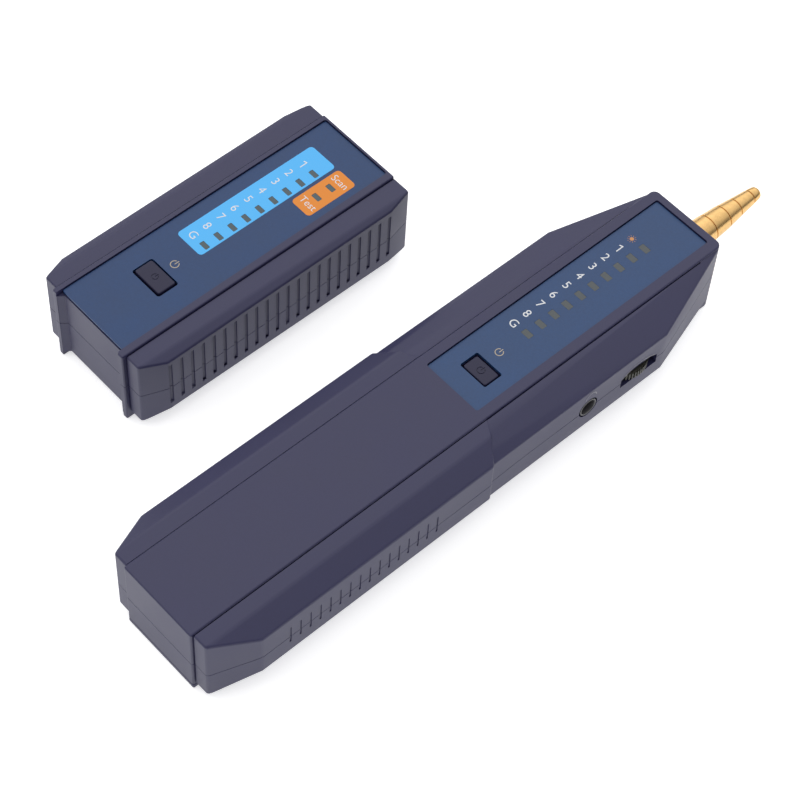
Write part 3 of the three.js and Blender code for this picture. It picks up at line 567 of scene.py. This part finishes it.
def power_sign(x, y, radius, line, low, top):
    """The ring of a power sign, open towards +Y, with its bar through the gap."""
    outer, inner = radius + line / 2, radius - line / 2
    ring = turned([(outer, low), (outer, top)])
    cut_away(ring, turned([(inner, low - 1), (inner, top + 1)]))
    cut_away(ring, brick((-radius * 0.42, radius * 0.42), (0, radius * 2), (low - 1, top + 1)))
    bar = rounded_plate((-line / 2, line / 2), (-radius * 0.05, radius * 1.3), (low, top), line * 0.45, 3)
    return lay_along(as_one([ring, bar]), "+z", (x, y, 0))


def button(left, right, near, far, low, flange_top, top):
    """A cap with soft edges on a wider flange."""
    cap = rounded_plate((left + BUTTON_GAP, right - BUTTON_GAP), (near + BUTTON_GAP, far - BUTTON_GAP),
                        (low, top), 0.7)
    round_edges(cap, 0.4, 4, angle=50)
    flange = rounded_plate((left - FLANGE_LIP, right + FLANGE_LIP), (near - FLANGE_LIP, far + FLANGE_LIP),
                           (low, flange_top), 0.6)
    combine(cap, flange, "UNION")
    return cap


receiver_button = button(*BUTTON, 22.4, 23.5, 26.45)
button_x, button_y = (BUTTON[0] + BUTTON[1]) / 2, (BUTTON[2] + BUTTON[3]) / 2
stem = lay_along(turned([(1.6, 18.5), (1.6, 22.6)], 24), "+z", (button_x, button_y, 0))
combine(receiver_button, stem, "UNION")
cut_away(receiver_button, power_sign(button_x, button_y, 1.1, SIGN_LINE, 26.3, 27))
settle(receiver_button, "receiver_power_button", button_plastic, "case", "receiver_button",
       "receiver_button")


# Receiver printing. The light numbers, the letter for the ground line, the power sign and the small
# lamp sign are ink on the film, so each stands a few hundredths of a millimetre above it.
INK = 0.03
FIGURE_HEIGHT, WORD_HEIGHT = 2.75, 2.4
CAPITAL_SHARE = 0.73
RAYS = 10


def ink_of(name, colour, roughness=0.5, cloud=0.03):
    """Printing ink: a fine grain with hardly any relief."""
    return finish_of(name, colour, roughness, cloud=cloud, grain=0.0003, relief=0.000004)


white_ink = ink_of("white ink", (0.70, 0.71, 0.73), cloud=0.02)
sand_ink = ink_of("sand coloured ink", (0.42, 0.355, 0.27))
orange_ink = ink_of("orange ink", (0.72, 0.225, 0.013))


def lettering(word, x, y, height, low, weight=0.0):
    """One printed word or figure, lying flat, centred on its place, with its top towards +Y."""
    bpy.ops.object.select_all(action="DESELECT")
    bpy.ops.object.text_add()
    letters = bpy.context.object
    letters.data.body = word
    letters.data.size = height / CAPITAL_SHARE
    letters.data.align_x = "CENTER"
    letters.data.offset = weight
    letters.data.extrude = INK / 2
    letters.data.resolution_u = 6
    bpy.ops.object.convert(target="MESH")
    letters = bpy.context.object
    tops = [vertex.co.y for vertex in letters.data.vertices]
    middle = (max(tops) + min(tops)) / 2
    sides = [vertex.co.x for vertex in letters.data.vertices]
    centre = (max(sides) + min(sides)) / 2
    return lay_along(letters, "+z", (x - centre, y - middle, low + INK / 2))


def figure_one(x, y, height, low, stroke):
    """A figure one: an upright stroke with a short flag at its top left."""
    right, top, layer = x + 0.25 * height, y + height / 2, (low, low + INK)
    upright = brick((right - stroke, right), (y - height / 2, top), layer)
    flag = brick((right - 0.42 * height, right - stroke - 0.001), (top - 1.15 * stroke, top), layer)
    pick_points(flag, lambda co: co.x < right - 0.3 * height)
    bpy.ops.transform.translate(value=(0, -0.75 * stroke, 0))
    bpy.ops.object.mode_set(mode="OBJECT")
    return as_one([upright, flag])


def light_figures(windows, x, height, low, weight):
    """The ground letter and the line numbers, one beside each window, counting down towards the far end."""
    signs = [lettering(figure, x, y, height, low, weight) for figure, (_, y) in zip("G8765432", windows)]
    stroke = height * 0.13 + 2 * weight
    signs.append(figure_one(x, windows[8][1], height, low, stroke))
    return as_one(signs)


figure_places = [(x, y - 0.3) for x, y in receiver_windows]
receiver_figures = light_figures(figure_places, -5.05, FIGURE_HEIGHT, label_top, 0.0)
settle(receiver_figures, "receiver_light_numbers", white_ink, "receiver_film", "receiver")
receiver_sign = power_sign(-0.5, 118.8, 1.15, SIGN_LINE, label_top, label_top + INK)
settle(receiver_sign, "receiver_printed_power_sign", sand_ink, "receiver_film", "receiver")


def lamp_sign(x, y, radius, low):
    """A dot with a ring of short rays."""
    rays = []
    for count in range(RAYS):
        ray = rounded_plate((radius * 1.45, radius * 2.1), (-0.06, 0.06), (low, low + INK), 0.05, 2)
        only(ray)
        ray.rotation_euler = (0, 0, count * math.tau / RAYS)
        bpy.ops.object.transform_apply()
        rays.append(ray)
    dot = turned([(radius, low), (radius, low + INK)], 32)
    return lay_along(as_one([dot, *rays]), "+z", (x, y, 0))


pale_orange_ink = ink_of("pale orange ink", (0.56, 0.25, 0.085))
settle(lamp_sign(-4.85, 174.2, 0.62, label_top), "receiver_lamp_sign", pale_orange_ink, "receiver_film",
       "receiver")


# Volume wheel. A dark moulded thumb wheel with a knurled rim, lying flat in the seam of the right
# wall and just proud of it, held on its spindle by a screw.
wheel_plastic = finish_of("wheel plastic", (0.020, 0.020, 0.012), 0.42, grain=0.0003)
WHEEL_TEETH, TOOTH_HEIGHT = 54, 0.5


def pick_faces(piece, rule):
    """Goes to edit mode with just the faces selected whose middle and direction fit the rule."""
    only(piece)
    bpy.ops.object.mode_set(mode="EDIT")
    bpy.ops.mesh.select_mode(type="FACE")
    bpy.ops.mesh.select_all(action="DESELECT")
    bpy.ops.object.mode_set(mode="OBJECT")
    for face in piece.data.polygons:
        face.select = rule(face.center, face.normal)
    bpy.ops.object.mode_set(mode="EDIT")


def every_second_rim_face(middle, direction):
    """True for each second upright face round the rim."""
    step = math.atan2(middle.y, middle.x) / math.tau * WHEEL_TEETH * 2
    return abs(direction.z) < 0.1 and int(math.floor(step)) % 2 == 0


tooth_root = WHEEL_RADIUS - TOOTH_HEIGHT
thumb_wheel = turned([(tooth_root, WHEEL_LOW), (tooth_root, WHEEL_TOP)], WHEEL_TEETH * 2)
pick_faces(thumb_wheel, every_second_rim_face)
bpy.ops.mesh.extrude_region_shrink_fatten(TRANSFORM_OT_shrink_fatten={"value": TOOTH_HEIGHT})
bpy.ops.object.mode_set(mode="OBJECT")
pick_faces(thumb_wheel, lambda middle, direction: direction.z > 0.9 and middle.xy.length < 1)
bpy.ops.mesh.inset(thickness=0.5)
bpy.ops.transform.translate(value=(0, 0, 0.12))
bpy.ops.object.mode_set(mode="OBJECT")
cut_away(thumb_wheel, turned([(5.2, WHEEL_TOP - 0.5), (5.2, WHEEL_TOP + 2)]))
cut_away(thumb_wheel, turned([(1.6, WHEEL_LOW - 1), (1.6, WHEEL_TOP + 2)], 32))
lay_along(thumb_wheel, "+z", (WHEEL_X, WHEEL_Y, 0))
settle(thumb_wheel, "receiver_thumb_wheel", wheel_plastic, "wheel_plastic", "receiver_volume_wheel",
       "receiver_volume_wheel")


# Earphone jack. A black moulded socket behind the right wall, with a screwed ring round its mouth.
# The case wall round it carries a raised headphone band, and a raised lip arches over the wheel.
black_plastic = finish_of("black moulded plastic", (0.012, 0.012, 0.013), 0.45)
grey_ring = finish_of("jack ring plastic", (0.045, 0.045, 0.050), 0.40, grain=0.0003)
jack_face = FRONT_WALL - WALL - 0.3
jack_body = brick((jack_face - 11, jack_face), (JACK_Y - 4, JACK_Y + 4), (11.5, 20.4))
round_edges(jack_body, 0.4, 2, angle=50)
jack_bore = turned([(1.85, 0), (1.85, 12)], 32)
cut_away(jack_body, lay_along(jack_bore, "+x", (jack_face - 9.5, JACK_Y, JACK_Z)))
settle(jack_body, "receiver_jack_body", black_plastic, "black_plastic", "receiver",
       "receiver_earphone_jack")
ring_steps = [(1.9, 0), (3.05, 0), (3.05, 2.1), (2.95, 2.25), (2.6, 2.25), (2.4, 1.9), (2.3, 0.2),
              (0.5, 0.15)]
jack_ring = turned(ring_steps)
cut_away(jack_ring, turned([(2.25, -1), (2.25, 1)]))
lay_along(jack_ring, "+x", (jack_face + 0.05, JACK_Y, JACK_Z))
settle(jack_ring, "receiver_jack_collar", grey_ring, "black_plastic", "receiver", "receiver_jack_ring")
# Painted highlight: the raised headphone band and the lip over the wheel get a pale colour that stands in for
# the light they catch from above.
highlight_painted_plastic = finish_of("case plastic with painted highlight", (0.16, 0.155, 0.19), 0.4)
RAISED_BY, RAISED_WIDTH, RAISED_FROM = 0.15, 0.3, 23.5


def raised_arc(radius, sides, cut_from, place):
    """A thin raised band on the wall: the part of a ring above a level line."""
    band = turned([(radius + RAISED_WIDTH, 0), (radius + RAISED_WIDTH, RAISED_BY)], sides)
    cut_away(band, turned([(radius, -1), (radius, 1)], sides))
    cut_away(band, brick((cut_from, 20), (-20, 20), (-1, 1)))
    return lay_along(band, "+x", (RAISED_FROM, *place))


headphone_band = raised_arc(1.85, 48, 0, (131.0, 20.2))
scoop_lip = raised_arc(SCOOP_RADIUS, 160, -9.6, (WHEEL_Y, SCOOP_CENTRE))
settle(as_one([headphone_band, scoop_lip]), "receiver_raised_wall_signs", highlight_painted_plastic, "case",
       "receiver")


# Brass probe. Turned from one bar in steps like a telescope, each step a little thinner than the one
# before and cut in at its end, with a rounded tip; its neck passes through the nose wall.
PROBE_START = 192.3
probe_brass = finish_of("turned brass", (0.68, 0.43, 0.175), 0.26, metal=1.0, cloud=0.16, grain=0.0011,
                        relief=0.000014, uneven=0.08)
probe_steps = [
    (3.0, -8), (3.0, 0), (4.75, 0), (4.8, 0.15), (4.35, 9.9), (4.25, 10.05), (3.9, 10.15), (3.9, 10.45),
    (4.15, 10.55), (4.2, 10.7), (3.85, 16.1), (3.75, 16.25), (3.4, 16.35), (3.4, 16.65), (3.65, 16.75),
    (3.7, 16.9), (3.2, 21.4), (3.1, 21.55), (2.75, 21.65), (2.75, 21.95), (3.0, 22.05), (3.05, 22.2),
    (2.5, 27.6), (2.4, 27.75), (2.05, 27.85), (2.05, 28.1), (2.3, 28.2), (2.35, 28.35), (2.1, 30.4),
    (1.9, 30.9), (1.5, 31.3), (0.95, 31.6), (0.3, 31.7)]
probe = lay_along(turned(probe_steps, 64), "+y", (0, PROBE_START, PROBE_AXIS))
settle(probe, "receiver_tone_probe", probe_brass, "brass", "receiver", "receiver_probe")


# Network socket of the receiver. A black modular jack behind the left wall, open to the side, with
# eight sprung gold contacts under its roof.
SOCKET_DEPTH, SOCKET_WALL = 15.8, 1.2
NETWORK_SIZE, PHONE_SIZE = (15.8, 11.8), (13, 9.8)


def modular_socket(width, cavity, low, top):
    """A jack body with its mouth at Y 0: the room for the plug and the channel for the plug's latch."""
    body = brick((-width / 2, width / 2), (-SOCKET_DEPTH, 0), (low, top))
    round_edges(body, 0.35, 2, angle=50)
    back, latch_end, latch_low = 2.2 - SOCKET_DEPTH, 6 - SOCKET_DEPTH, low + 0.6
    plug_room = brick((-cavity / 2, cavity / 2), (back, 1), (low + SOCKET_WALL, top - SOCKET_WALL))
    cut_away(body, plug_room)
    cut_away(body, brick((-3.2, 3.2), (latch_end, 1), (latch_low, (low + top) / 2)))
    cut_away(body, brick((-1.6, 1.6), (latch_end, -1), (latch_low, low + 3.2)))
    return body


receiver_socket = modular_socket(*NETWORK_SIZE, 11.5, 22)
only(receiver_socket)
receiver_socket.rotation_euler = (0, 0, math.pi / 2)
receiver_socket.location = (-21.3, SOCKET_Y, 0)
bpy.ops.object.transform_apply()
settle(receiver_socket, "receiver_side_socket", black_plastic, "black_plastic", "receiver",
       "receiver_network_socket")


# Battery doors. Flat moulded plates under the two batteries; each slides out towards its unit's tail
# and has three finger ridges sunk in its face.
def door_plate(half, near, far, top, first_ridge):
    """A plate with soft edges and three ridges cut into its underside."""
    plate = brick((-half, half), (near, far), (0, top))
    round_edges(plate, 0.45, 3, angle=50)
    ridges = [rounded_plate((-6, 6), (first_ridge + 2 * row, first_ridge + 1 + 2 * row), (-1, 0.5), 0.45, 3)
              for row in (0, 1, 2)]
    cut_away(plate, *ridges)
    return plate


receiver_door = door_plate(BLOCK_HALF, 0.02, 67, 1.8, 8)
settle(receiver_door, "receiver_battery_cover", case_plastic, "case", "receiver_battery_door",
       "receiver_battery_door")


# Case screws. Plated steel with a flat head and a cross recess, four from below in each unit.
bright_steel = finish_of("plated steel", (0.55, 0.55, 0.57), 0.32, metal=1.0, grain=0.0004, relief=0.000006)
CROSS_LENGTH, CROSS_WIDTH, CROSS_DEPTH = (-1.5, 1.5), (-0.3, 0.3), 0.9


def case_screw(x, y, seat):
    """A screw standing head down in its hole."""
    head = seat - 0.3 - SCREW_HEAD_HEIGHT
    profile = [(1.9, head), (SCREW_HEAD - 0.15, head + 0.1), (SCREW_HEAD, head + 0.35),
               (SCREW_HEAD, head + SCREW_HEAD_HEIGHT), (SCREW_SHANK, head + SCREW_HEAD_HEIGHT),
               (SCREW_SHANK, 15.4), (0.5, 16)]
    screw = turned(profile, 32)
    cut_away(screw, brick(CROSS_LENGTH, CROSS_WIDTH, (head - 1, head + CROSS_DEPTH)))
    cut_away(screw, brick(CROSS_WIDTH, CROSS_LENGTH, (head - 1, head + CROSS_DEPTH)))
    return lay_along(screw, "+z", (x, y, 0))


def fit_screws(unit, screws):
    """The four case screws of one unit."""
    for number, (x, y, seat, _) in enumerate(screws, 1):
        settle(case_screw(x, y, seat), f"{unit}_screw_{number}", bright_steel, "steel", unit,
               f"{unit}_case_screw_{number}")


fit_screws("receiver", RECEIVER_SCREWS)


# Transmitter case. The same plastic: a straight centre block between two shoulders, with upright grip
# grooves along both side walls, a near end set back between two corner posts, and a seam all round.
TRANSMITTER_LENGTH, TRANSMITTER_HEIGHT = 98.0, 28.9
TRANSMITTER_BLOCK = 15.2
TRANSMITTER_CEILING = 25.4
TRANSMITTER_WALL = 23.3
unit_places["transmitter"] = tail_middle("transmitter_bottom_shell")
TRANSMITTER_SCREWS = [(x, y, 6, TRANSMITTER_CEILING) for y in (11, 76) for x in (-18, 18)]
GROOVE_COUNT, GROOVE_START, GROOVE_PITCH, GROOVE_HALF, GROOVE_ROUNDING = 22, 9.9, 3.77, 0.6, 0.5
GROOVE_SLANT = 1.0


def transmitter_form(inset, ceiling=100):
    """The shoulders: long sloping facets above and below, and the four cut corners."""
    top, low = 28.2 - inset, 2.8 + inset
    ridge, far_ridge, wall = 20.2 - inset * 0.7, 21.5 - inset * 0.8, TRANSMITTER_WALL - inset
    wall_top, wall_low = 26.9 - inset, 5.4 + inset * 0.8
    near, far = 1.4 + inset, 97.95 - inset
    near_knee, far_knee = 9.3 + inset * 0.4, 89.7 - inset * 0.4
    form = brick((-wall, wall), (near, far), (low, top))
    shave_both_sides(form, (ridge, near, top), (far_ridge, far, top), (wall, near_knee, wall_top))
    shave_both_sides(form, (ridge, near, low), (far_ridge, far, low), (wall, near_knee, wall_low))
    shave_both_sides(form, (ridge, near, low), (ridge, near, top), (wall, near_knee, top))
    shave_both_sides(form, (far_ridge, far, low), (far_ridge, far, top), (wall, far_knee, top))
    if ceiling < top:
        shave(form, (0, 0, ceiling), (1, 0, ceiling), (0, 1, ceiling))
    tidy_faces(form)
    return form


transmitter_body = transmitter_form(0)
round_edges(transmitter_body, 0.6)
transmitter_block = brick((-TRANSMITTER_BLOCK, TRANSMITTER_BLOCK), (0, TRANSMITTER_LENGTH),
                          (0, TRANSMITTER_HEIGHT))
round_edges(transmitter_block, 0.5, angle=40)
combine(transmitter_body, transmitter_block, "UNION")
RECESS_HALF, RECESS_DEPTH = 13.4, 1.9
near_recess = brick((-RECESS_HALF, RECESS_HALF), (BELOW, RECESS_DEPTH), (BELOW, ABOVE))
shave_both_sides(near_recess, (RECESS_HALF, 0.15, 0), (RECESS_HALF, 0.15, 9), (12.0, RECESS_DEPTH, 0))
tidy_faces(near_recess)
cut_away(transmitter_body, near_recess)
transmitter_hollow = transmitter_form(WALL, TRANSMITTER_CEILING)
cut_away(transmitter_hollow, brick((-BLANK_HALF, BLANK_HALF), (BELOW, 4), (BELOW, ABOVE)))
cut_away(transmitter_body, transmitter_hollow)
cut_away(transmitter_body, brick((-13.2, 13.2), (4, 96), (WALL, 12)))
cut_away(transmitter_body, brick((-15.2, 15.2), (78, 96), (8, 20.3)))

groove_middle, groove_half = TRANSMITTER_BLOCK + 0.15, 0.15
groove_sides = [(side * groove_middle - groove_half, side * groove_middle + groove_half) for side in (-1, 1)]
for length, height in (((BELOW, 2.4), (BELOW, ABOVE)), ((2, TRANSMITTER_LENGTH + 1), (27.3, ABOVE))):
    cut_away(transmitter_body, *[brick(sides, length, height) for sides in groove_sides])
side_grooves = wall_grooves(TRANSMITTER_WALL, GROOVE_HALF, (7.2, 25.2), GROOVE_START, GROOVE_PITCH,
                            GROOVE_COUNT, GROOVE_ROUNDING, 3)
for groove in side_grooves:
    pick_points(groove, lambda co: co.z < 8 and abs(co.x) < TRANSMITTER_WALL - 0.05)
    bpy.ops.transform.translate(value=(0, 0, GROOVE_SLANT))
    bpy.ops.object.mode_set(mode="OBJECT")
cut_away(transmitter_body, *side_grooves)
cut_away(transmitter_body, *[brick(sides, (92, 103), (9.4, 18.8)) for sides in ((-13.2, -0.6), (3.1, 13.7))])

transmitter_top, transmitter_bottom = split_at_seam(transmitter_body, [(1, 15.0)])
add_pillars(transmitter_top, transmitter_bottom, TRANSMITTER_SCREWS, 4.2)

T_LABEL_LEFT, T_LABEL_RIGHT, T_LABEL_START, T_LABEL_END = -13.3, 12.6, 1.9, 96.9
T_BUTTON = (-6.4, 5.3, 20.4, 27.6)
transmitter_windows = [(-0.5, 41.45 + 4.985 * count) for count in range(9)]
mode_windows = [(6.45, 76.4), (6.45, 81.6)]
T_WINDOW = (3.0, 1.6)
t_recess_floor = TRANSMITTER_HEIGHT - LABEL_DROP - LABEL_THICKNESS - LABEL_BED
t_button_hole = (T_BUTTON[:2], T_BUTTON[2:], THROUGH_ROOF, 0.8)
t_recess = rounded_plate((T_LABEL_LEFT - LABEL_MARGIN, T_LABEL_RIGHT + LABEL_MARGIN),
                         (-3, T_LABEL_END + LABEL_END_MARGIN), (t_recess_floor, ABOVE), 0.8)
cut_away(transmitter_top, t_recess)
cut_away(transmitter_top, rounded_plate(*t_button_hole))
cut_away(transmitter_top, *window_tools(transmitter_windows + mode_windows, T_WINDOW))
cut_away(transmitter_bottom, brick((-13.6, 13.6), (BELOW, 66.3), (BELOW, 1.9)))
cut_away(transmitter_bottom, brick((-13.6, 13.6), (12, 62), (BELOW, 6)))
settle(transmitter_top, "transmitter_upper_case", case_plastic, "case", "transmitter",
       "transmitter_top_shell")
settle(transmitter_bottom, "transmitter_lower_case", case_plastic, "case", "transmitter",
       "transmitter_bottom_shell")


# Transmitter label. A printed film like the receiver's, with a light blue field round the line lights
# and an orange field round the two mode lights.
transmitter_film = film_of("transmitter label film", (0.003, 0.034, 0.124))
sky_ink = ink_of("light blue ink", (0.068, 0.44, 0.88), 0.45, cloud=0.02)
t_label_top = TRANSMITTER_HEIGHT - LABEL_DROP
t_label = label_film((T_LABEL_LEFT - FILM_MARGIN, T_LABEL_RIGHT + FILM_MARGIN),
                     (T_LABEL_START + LABEL_MARGIN, T_LABEL_END + FILM_MARGIN), t_label_top, 0.5,
                     t_button_hole, transmitter_windows + mode_windows, T_WINDOW)
settle(t_label, "transmitter_display_label", transmitter_film, "transmitter_film", "transmitter",
       "transmitter_label")


def printed_field(x, y, windows):
    """A printed field on the film, with round corners, left open over its windows."""
    field = rounded_plate(x, y, (t_label_top, t_label_top + INK), 1.2, 8)
    cut_away(field, *window_tools(windows, T_WINDOW))
    return field


line_field = printed_field((-8.8, 1.65), (38.2, 87.75), transmitter_windows)
settle(line_field, "transmitter_line_field", sky_ink, "transmitter_film", "transmitter")
mode_field = printed_field((2.8, 10.35), (70.0, 87.8), mode_windows)
settle(mode_field, "transmitter_mode_field", orange_ink, "transmitter_film", "transmitter")


# Transmitter printing. Line numbers and the names of the two modes in white ink on the coloured fields,
# and the power sign in sand coloured ink on the film beside the button.
field_top = t_label_top + INK
t_figures = light_figures(transmitter_windows, -5.4, FIGURE_HEIGHT, field_top, -0.02)
settle(t_figures, "transmitter_line_numbers", white_ink, "transmitter_film", "transmitter")
mode_words = [lettering(word, x, y, WORD_HEIGHT, field_top, -0.015)
              for word, x, y in (("Scan", 6.6, 85.0), ("Test", 6.65, 73.1))]
settle(as_one(mode_words), "transmitter_mode_names", white_ink, "transmitter_film", "transmitter")
t_sign = power_sign(-0.7, 31.0, 1.2, SIGN_LINE, t_label_top, field_top)
settle(t_sign, "transmitter_printed_power_sign", sand_ink, "transmitter_film", "transmitter")


# Transmitter light guides and button. Clear mouldings and a moulded cap as in the receiver, held between
# the case and the board; here the button stands a little proud of the label.
dull_window = finish_of("dull window", (0.050, 0.080, 0.095), 0.35, cloud=0.08, grain=0.0007)
for windows, name, node in ((transmitter_windows, "transmitter_window_strip", "transmitter_light_guide"),
                            (mode_windows, "transmitter_mode_strip", "transmitter_mode_light_guide")):
    guide = light_guide(windows, T_WINDOW, 2.0, 23.7, 25.1, t_label_top)
    settle(guide, name, dull_window, "clear_plastic", "transmitter", node)
t_button = button(*T_BUTTON, 24.2, 25.1, TRANSMITTER_HEIGHT - 0.1)
t_button_x, t_button_y = (T_BUTTON[0] + T_BUTTON[1]) / 2, (T_BUTTON[2] + T_BUTTON[3]) / 2
cut_away(t_button, power_sign(t_button_x, t_button_y, 0.95, 0.25, TRANSMITTER_HEIGHT - 0.22, 30))
settle(t_button, "transmitter_power_button", button_plastic, "case", "transmitter_button",
       "transmitter_button")


# Transmitter sockets. A network jack and a smaller telephone jack of the same black plastic, soldered
# to the board side by side with their mouths in the far end of the case.
for kind, x, size in (("network", -6.9, NETWORK_SIZE), ("phone", 8.4, PHONE_SIZE)):
    jack = lay_along(modular_socket(*size, 8.2, 19.9), "+z", (x, 95.7, 0))
    settle(jack, f"transmitter_{kind}_jack", black_plastic, "black_plastic", "transmitter",
           f"transmitter_{kind}_socket")


# Transmitter battery door and screws. The same moulded plate, running under the case between the
# corner posts, and four of the same plated screws.
t_door = door_plate(13.2, 9, 66, 1.6, 14)
settle(t_door, "transmitter_battery_cover", case_plastic, "case", "transmitter_battery_door",
       "transmitter_battery_door")
fit_screws("transmitter", TRANSMITTER_SCREWS)


# Inside parts. Boards, lamps, switches, loudspeaker, batteries with their clips and leads, and the
# probe's washer, nut and lead are hidden in the cases, so they keep their fixed shapes and get finishes.
board_lacquer = finish_of("green board lacquer", (0.012, 0.10, 0.035), 0.35, cloud=0.12, grain=0.0008)
lamp_resin = finish_of("milky lamp resin", (0.62, 0.62, 0.52), 0.3, cloud=0.04)
gold_plate = finish_of("gold plated springs", (0.80, 0.56, 0.20), 0.28, metal=1.0, grain=0.0003,
                       relief=0.000006)
battery_jacket = finish_of("battery jacket", (0.03, 0.035, 0.045), 0.35, cloud=0.05)
red_sleeve = finish_of("red wire sleeve", (0.42, 0.018, 0.015), 0.45)
black_sleeve = finish_of("black wire sleeve", (0.010, 0.010, 0.010), 0.45)
inside_finishes = {
    "receiver_button_switch": black_plastic,
    "receiver_main_board": board_lacquer,
    "receiver_led_strip": lamp_resin,
    "receiver_volume_pot": black_plastic,
    "receiver_wheel_screw": bright_steel,
    "receiver_probe_washer": bright_steel,
    "receiver_probe_nut": probe_brass,
    "receiver_probe_lead": red_sleeve,
    "receiver_network_contacts": gold_plate,
    "receiver_speaker": black_plastic,
    "receiver_battery": battery_jacket,
    "receiver_battery_snap": black_plastic,
    "receiver_battery_lead_red": red_sleeve,
    "receiver_battery_lead_black": black_sleeve,
    "transmitter_button_switch": black_plastic,
    "transmitter_main_board": board_lacquer,
    "transmitter_led_strip": lamp_resin,
    "transmitter_network_contacts": gold_plate,
    "transmitter_phone_contacts": gold_plate,
    "transmitter_battery": battery_jacket,
    "transmitter_battery_snap": black_plastic,
    "transmitter_battery_lead_red": red_sleeve,
    "transmitter_battery_lead_black": black_sleeve,
}
for node_name, finish in inside_finishes.items():
    inside_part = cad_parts[node_name]
    inside_part.data.materials.clear()
    inside_part.data.materials.append(finish)


# Floor and light. The floor is a plain pale table with a little light of its own. The soft light all
# comes from the surround, which is brighter on the left and dims towards the horizon.
TABLE_GLOW = 0.56
bpy.ops.object.select_all(action="DESELECT")
bpy.ops.mesh.primitive_plane_add(size=6)
floor = bpy.context.object
floor.name = "floor"
light_table = finish_of("white light table", (0.90, 0.90, 0.90), 0.75, cloud=0.005, relief=0.000001)
table_shader = light_table.node_tree.nodes["Principled BSDF"]
table_shader.inputs["Emission Color"].default_value = (1, 1, 1, 1)
table_shader.inputs["Emission Strength"].default_value = TABLE_GLOW
floor.data.materials.append(light_table)

surround = bpy.data.worlds.new("studio surround")
surround.use_nodes = True
SURROUND_LIGHT, BRIGHTER_SIDE = 1.16, (-0.68, 0.28, 0.0)
HORIZON_LOW, HORIZON_HIGH, HORIZON_SHARE = 0.05, 0.6, 0.12
surround_nodes, surround_links = surround.node_tree.nodes, surround.node_tree.links
surround_nodes["Background"].inputs["Color"].default_value = (1, 1, 1, 1)
direction = surround_nodes.new("ShaderNodeTexCoord")
sideways = surround_nodes.new("ShaderNodeVectorMath")
sideways.operation = "DOT_PRODUCT"
sideways.inputs[1].default_value = BRIGHTER_SIDE
surround_links.new(direction.outputs["Generated"], sideways.inputs[0])
brightness = surround_nodes.new("ShaderNodeMath")
brightness.operation = "ADD"
brightness.inputs[1].default_value = SURROUND_LIGHT
surround_links.new(sideways.outputs["Value"], brightness.inputs[0])
height = surround_nodes.new("ShaderNodeSeparateXYZ")
surround_links.new(direction.outputs["Generated"], height.inputs["Vector"])
rise = surround_nodes.new("ShaderNodeMapRange")
rise.interpolation_type = "SMOOTHSTEP"
rise.inputs["From Min"].default_value = HORIZON_LOW
rise.inputs["From Max"].default_value = HORIZON_HIGH
rise.inputs["To Min"].default_value = HORIZON_SHARE
rise.inputs["To Max"].default_value = 1.0
surround_links.new(height.outputs["Z"], rise.inputs["Value"])
dimmed = surround_nodes.new("ShaderNodeMath")
dimmed.operation = "MULTIPLY"
surround_links.new(brightness.outputs["Value"], dimmed.inputs[0])
surround_links.new(rise.outputs["Result"], dimmed.inputs[1])
surround_links.new(dimmed.outputs["Value"], surround_nodes["Background"].inputs["Strength"])
bpy.context.scene.world = surround
bpy.context.scene.view_settings.view_transform = "Standard"


# Camera. A long lens well above the pair, looking down across them from the tail end and the right,
# tilted a few degrees about its own axis.
CAMERA_AZIMUTH, CAMERA_ELEVATION, CAMERA_ROLL = map(math.radians, (44.556, 55.093, 4.0987))
CAMERA_DISTANCE = 0.677
CAMERA_AIM = Vector((0.0195, -0.0109, 0.0))
bpy.ops.object.camera_add()
camera = bpy.context.object
camera.name = "camera"
camera.data.lens = 108.97
camera.data.sensor_width = 36
camera.data.clip_start = 0.01
flat = math.cos(CAMERA_ELEVATION)
back = Vector((math.sin(CAMERA_AZIMUTH) * flat, -math.cos(CAMERA_AZIMUTH) * flat, math.sin(CAMERA_ELEVATION)))
turn = Matrix.Rotation(CAMERA_AZIMUTH, 4, "Z") @ Matrix.Rotation(math.pi / 2 - CAMERA_ELEVATION, 4, "X")
turn = turn @ Matrix.Rotation(CAMERA_ROLL, 4, "Z")
camera.matrix_world = Matrix.Translation(CAMERA_AIM + back * CAMERA_DISTANCE) @ turn
bpy.context.scene.camera = camera
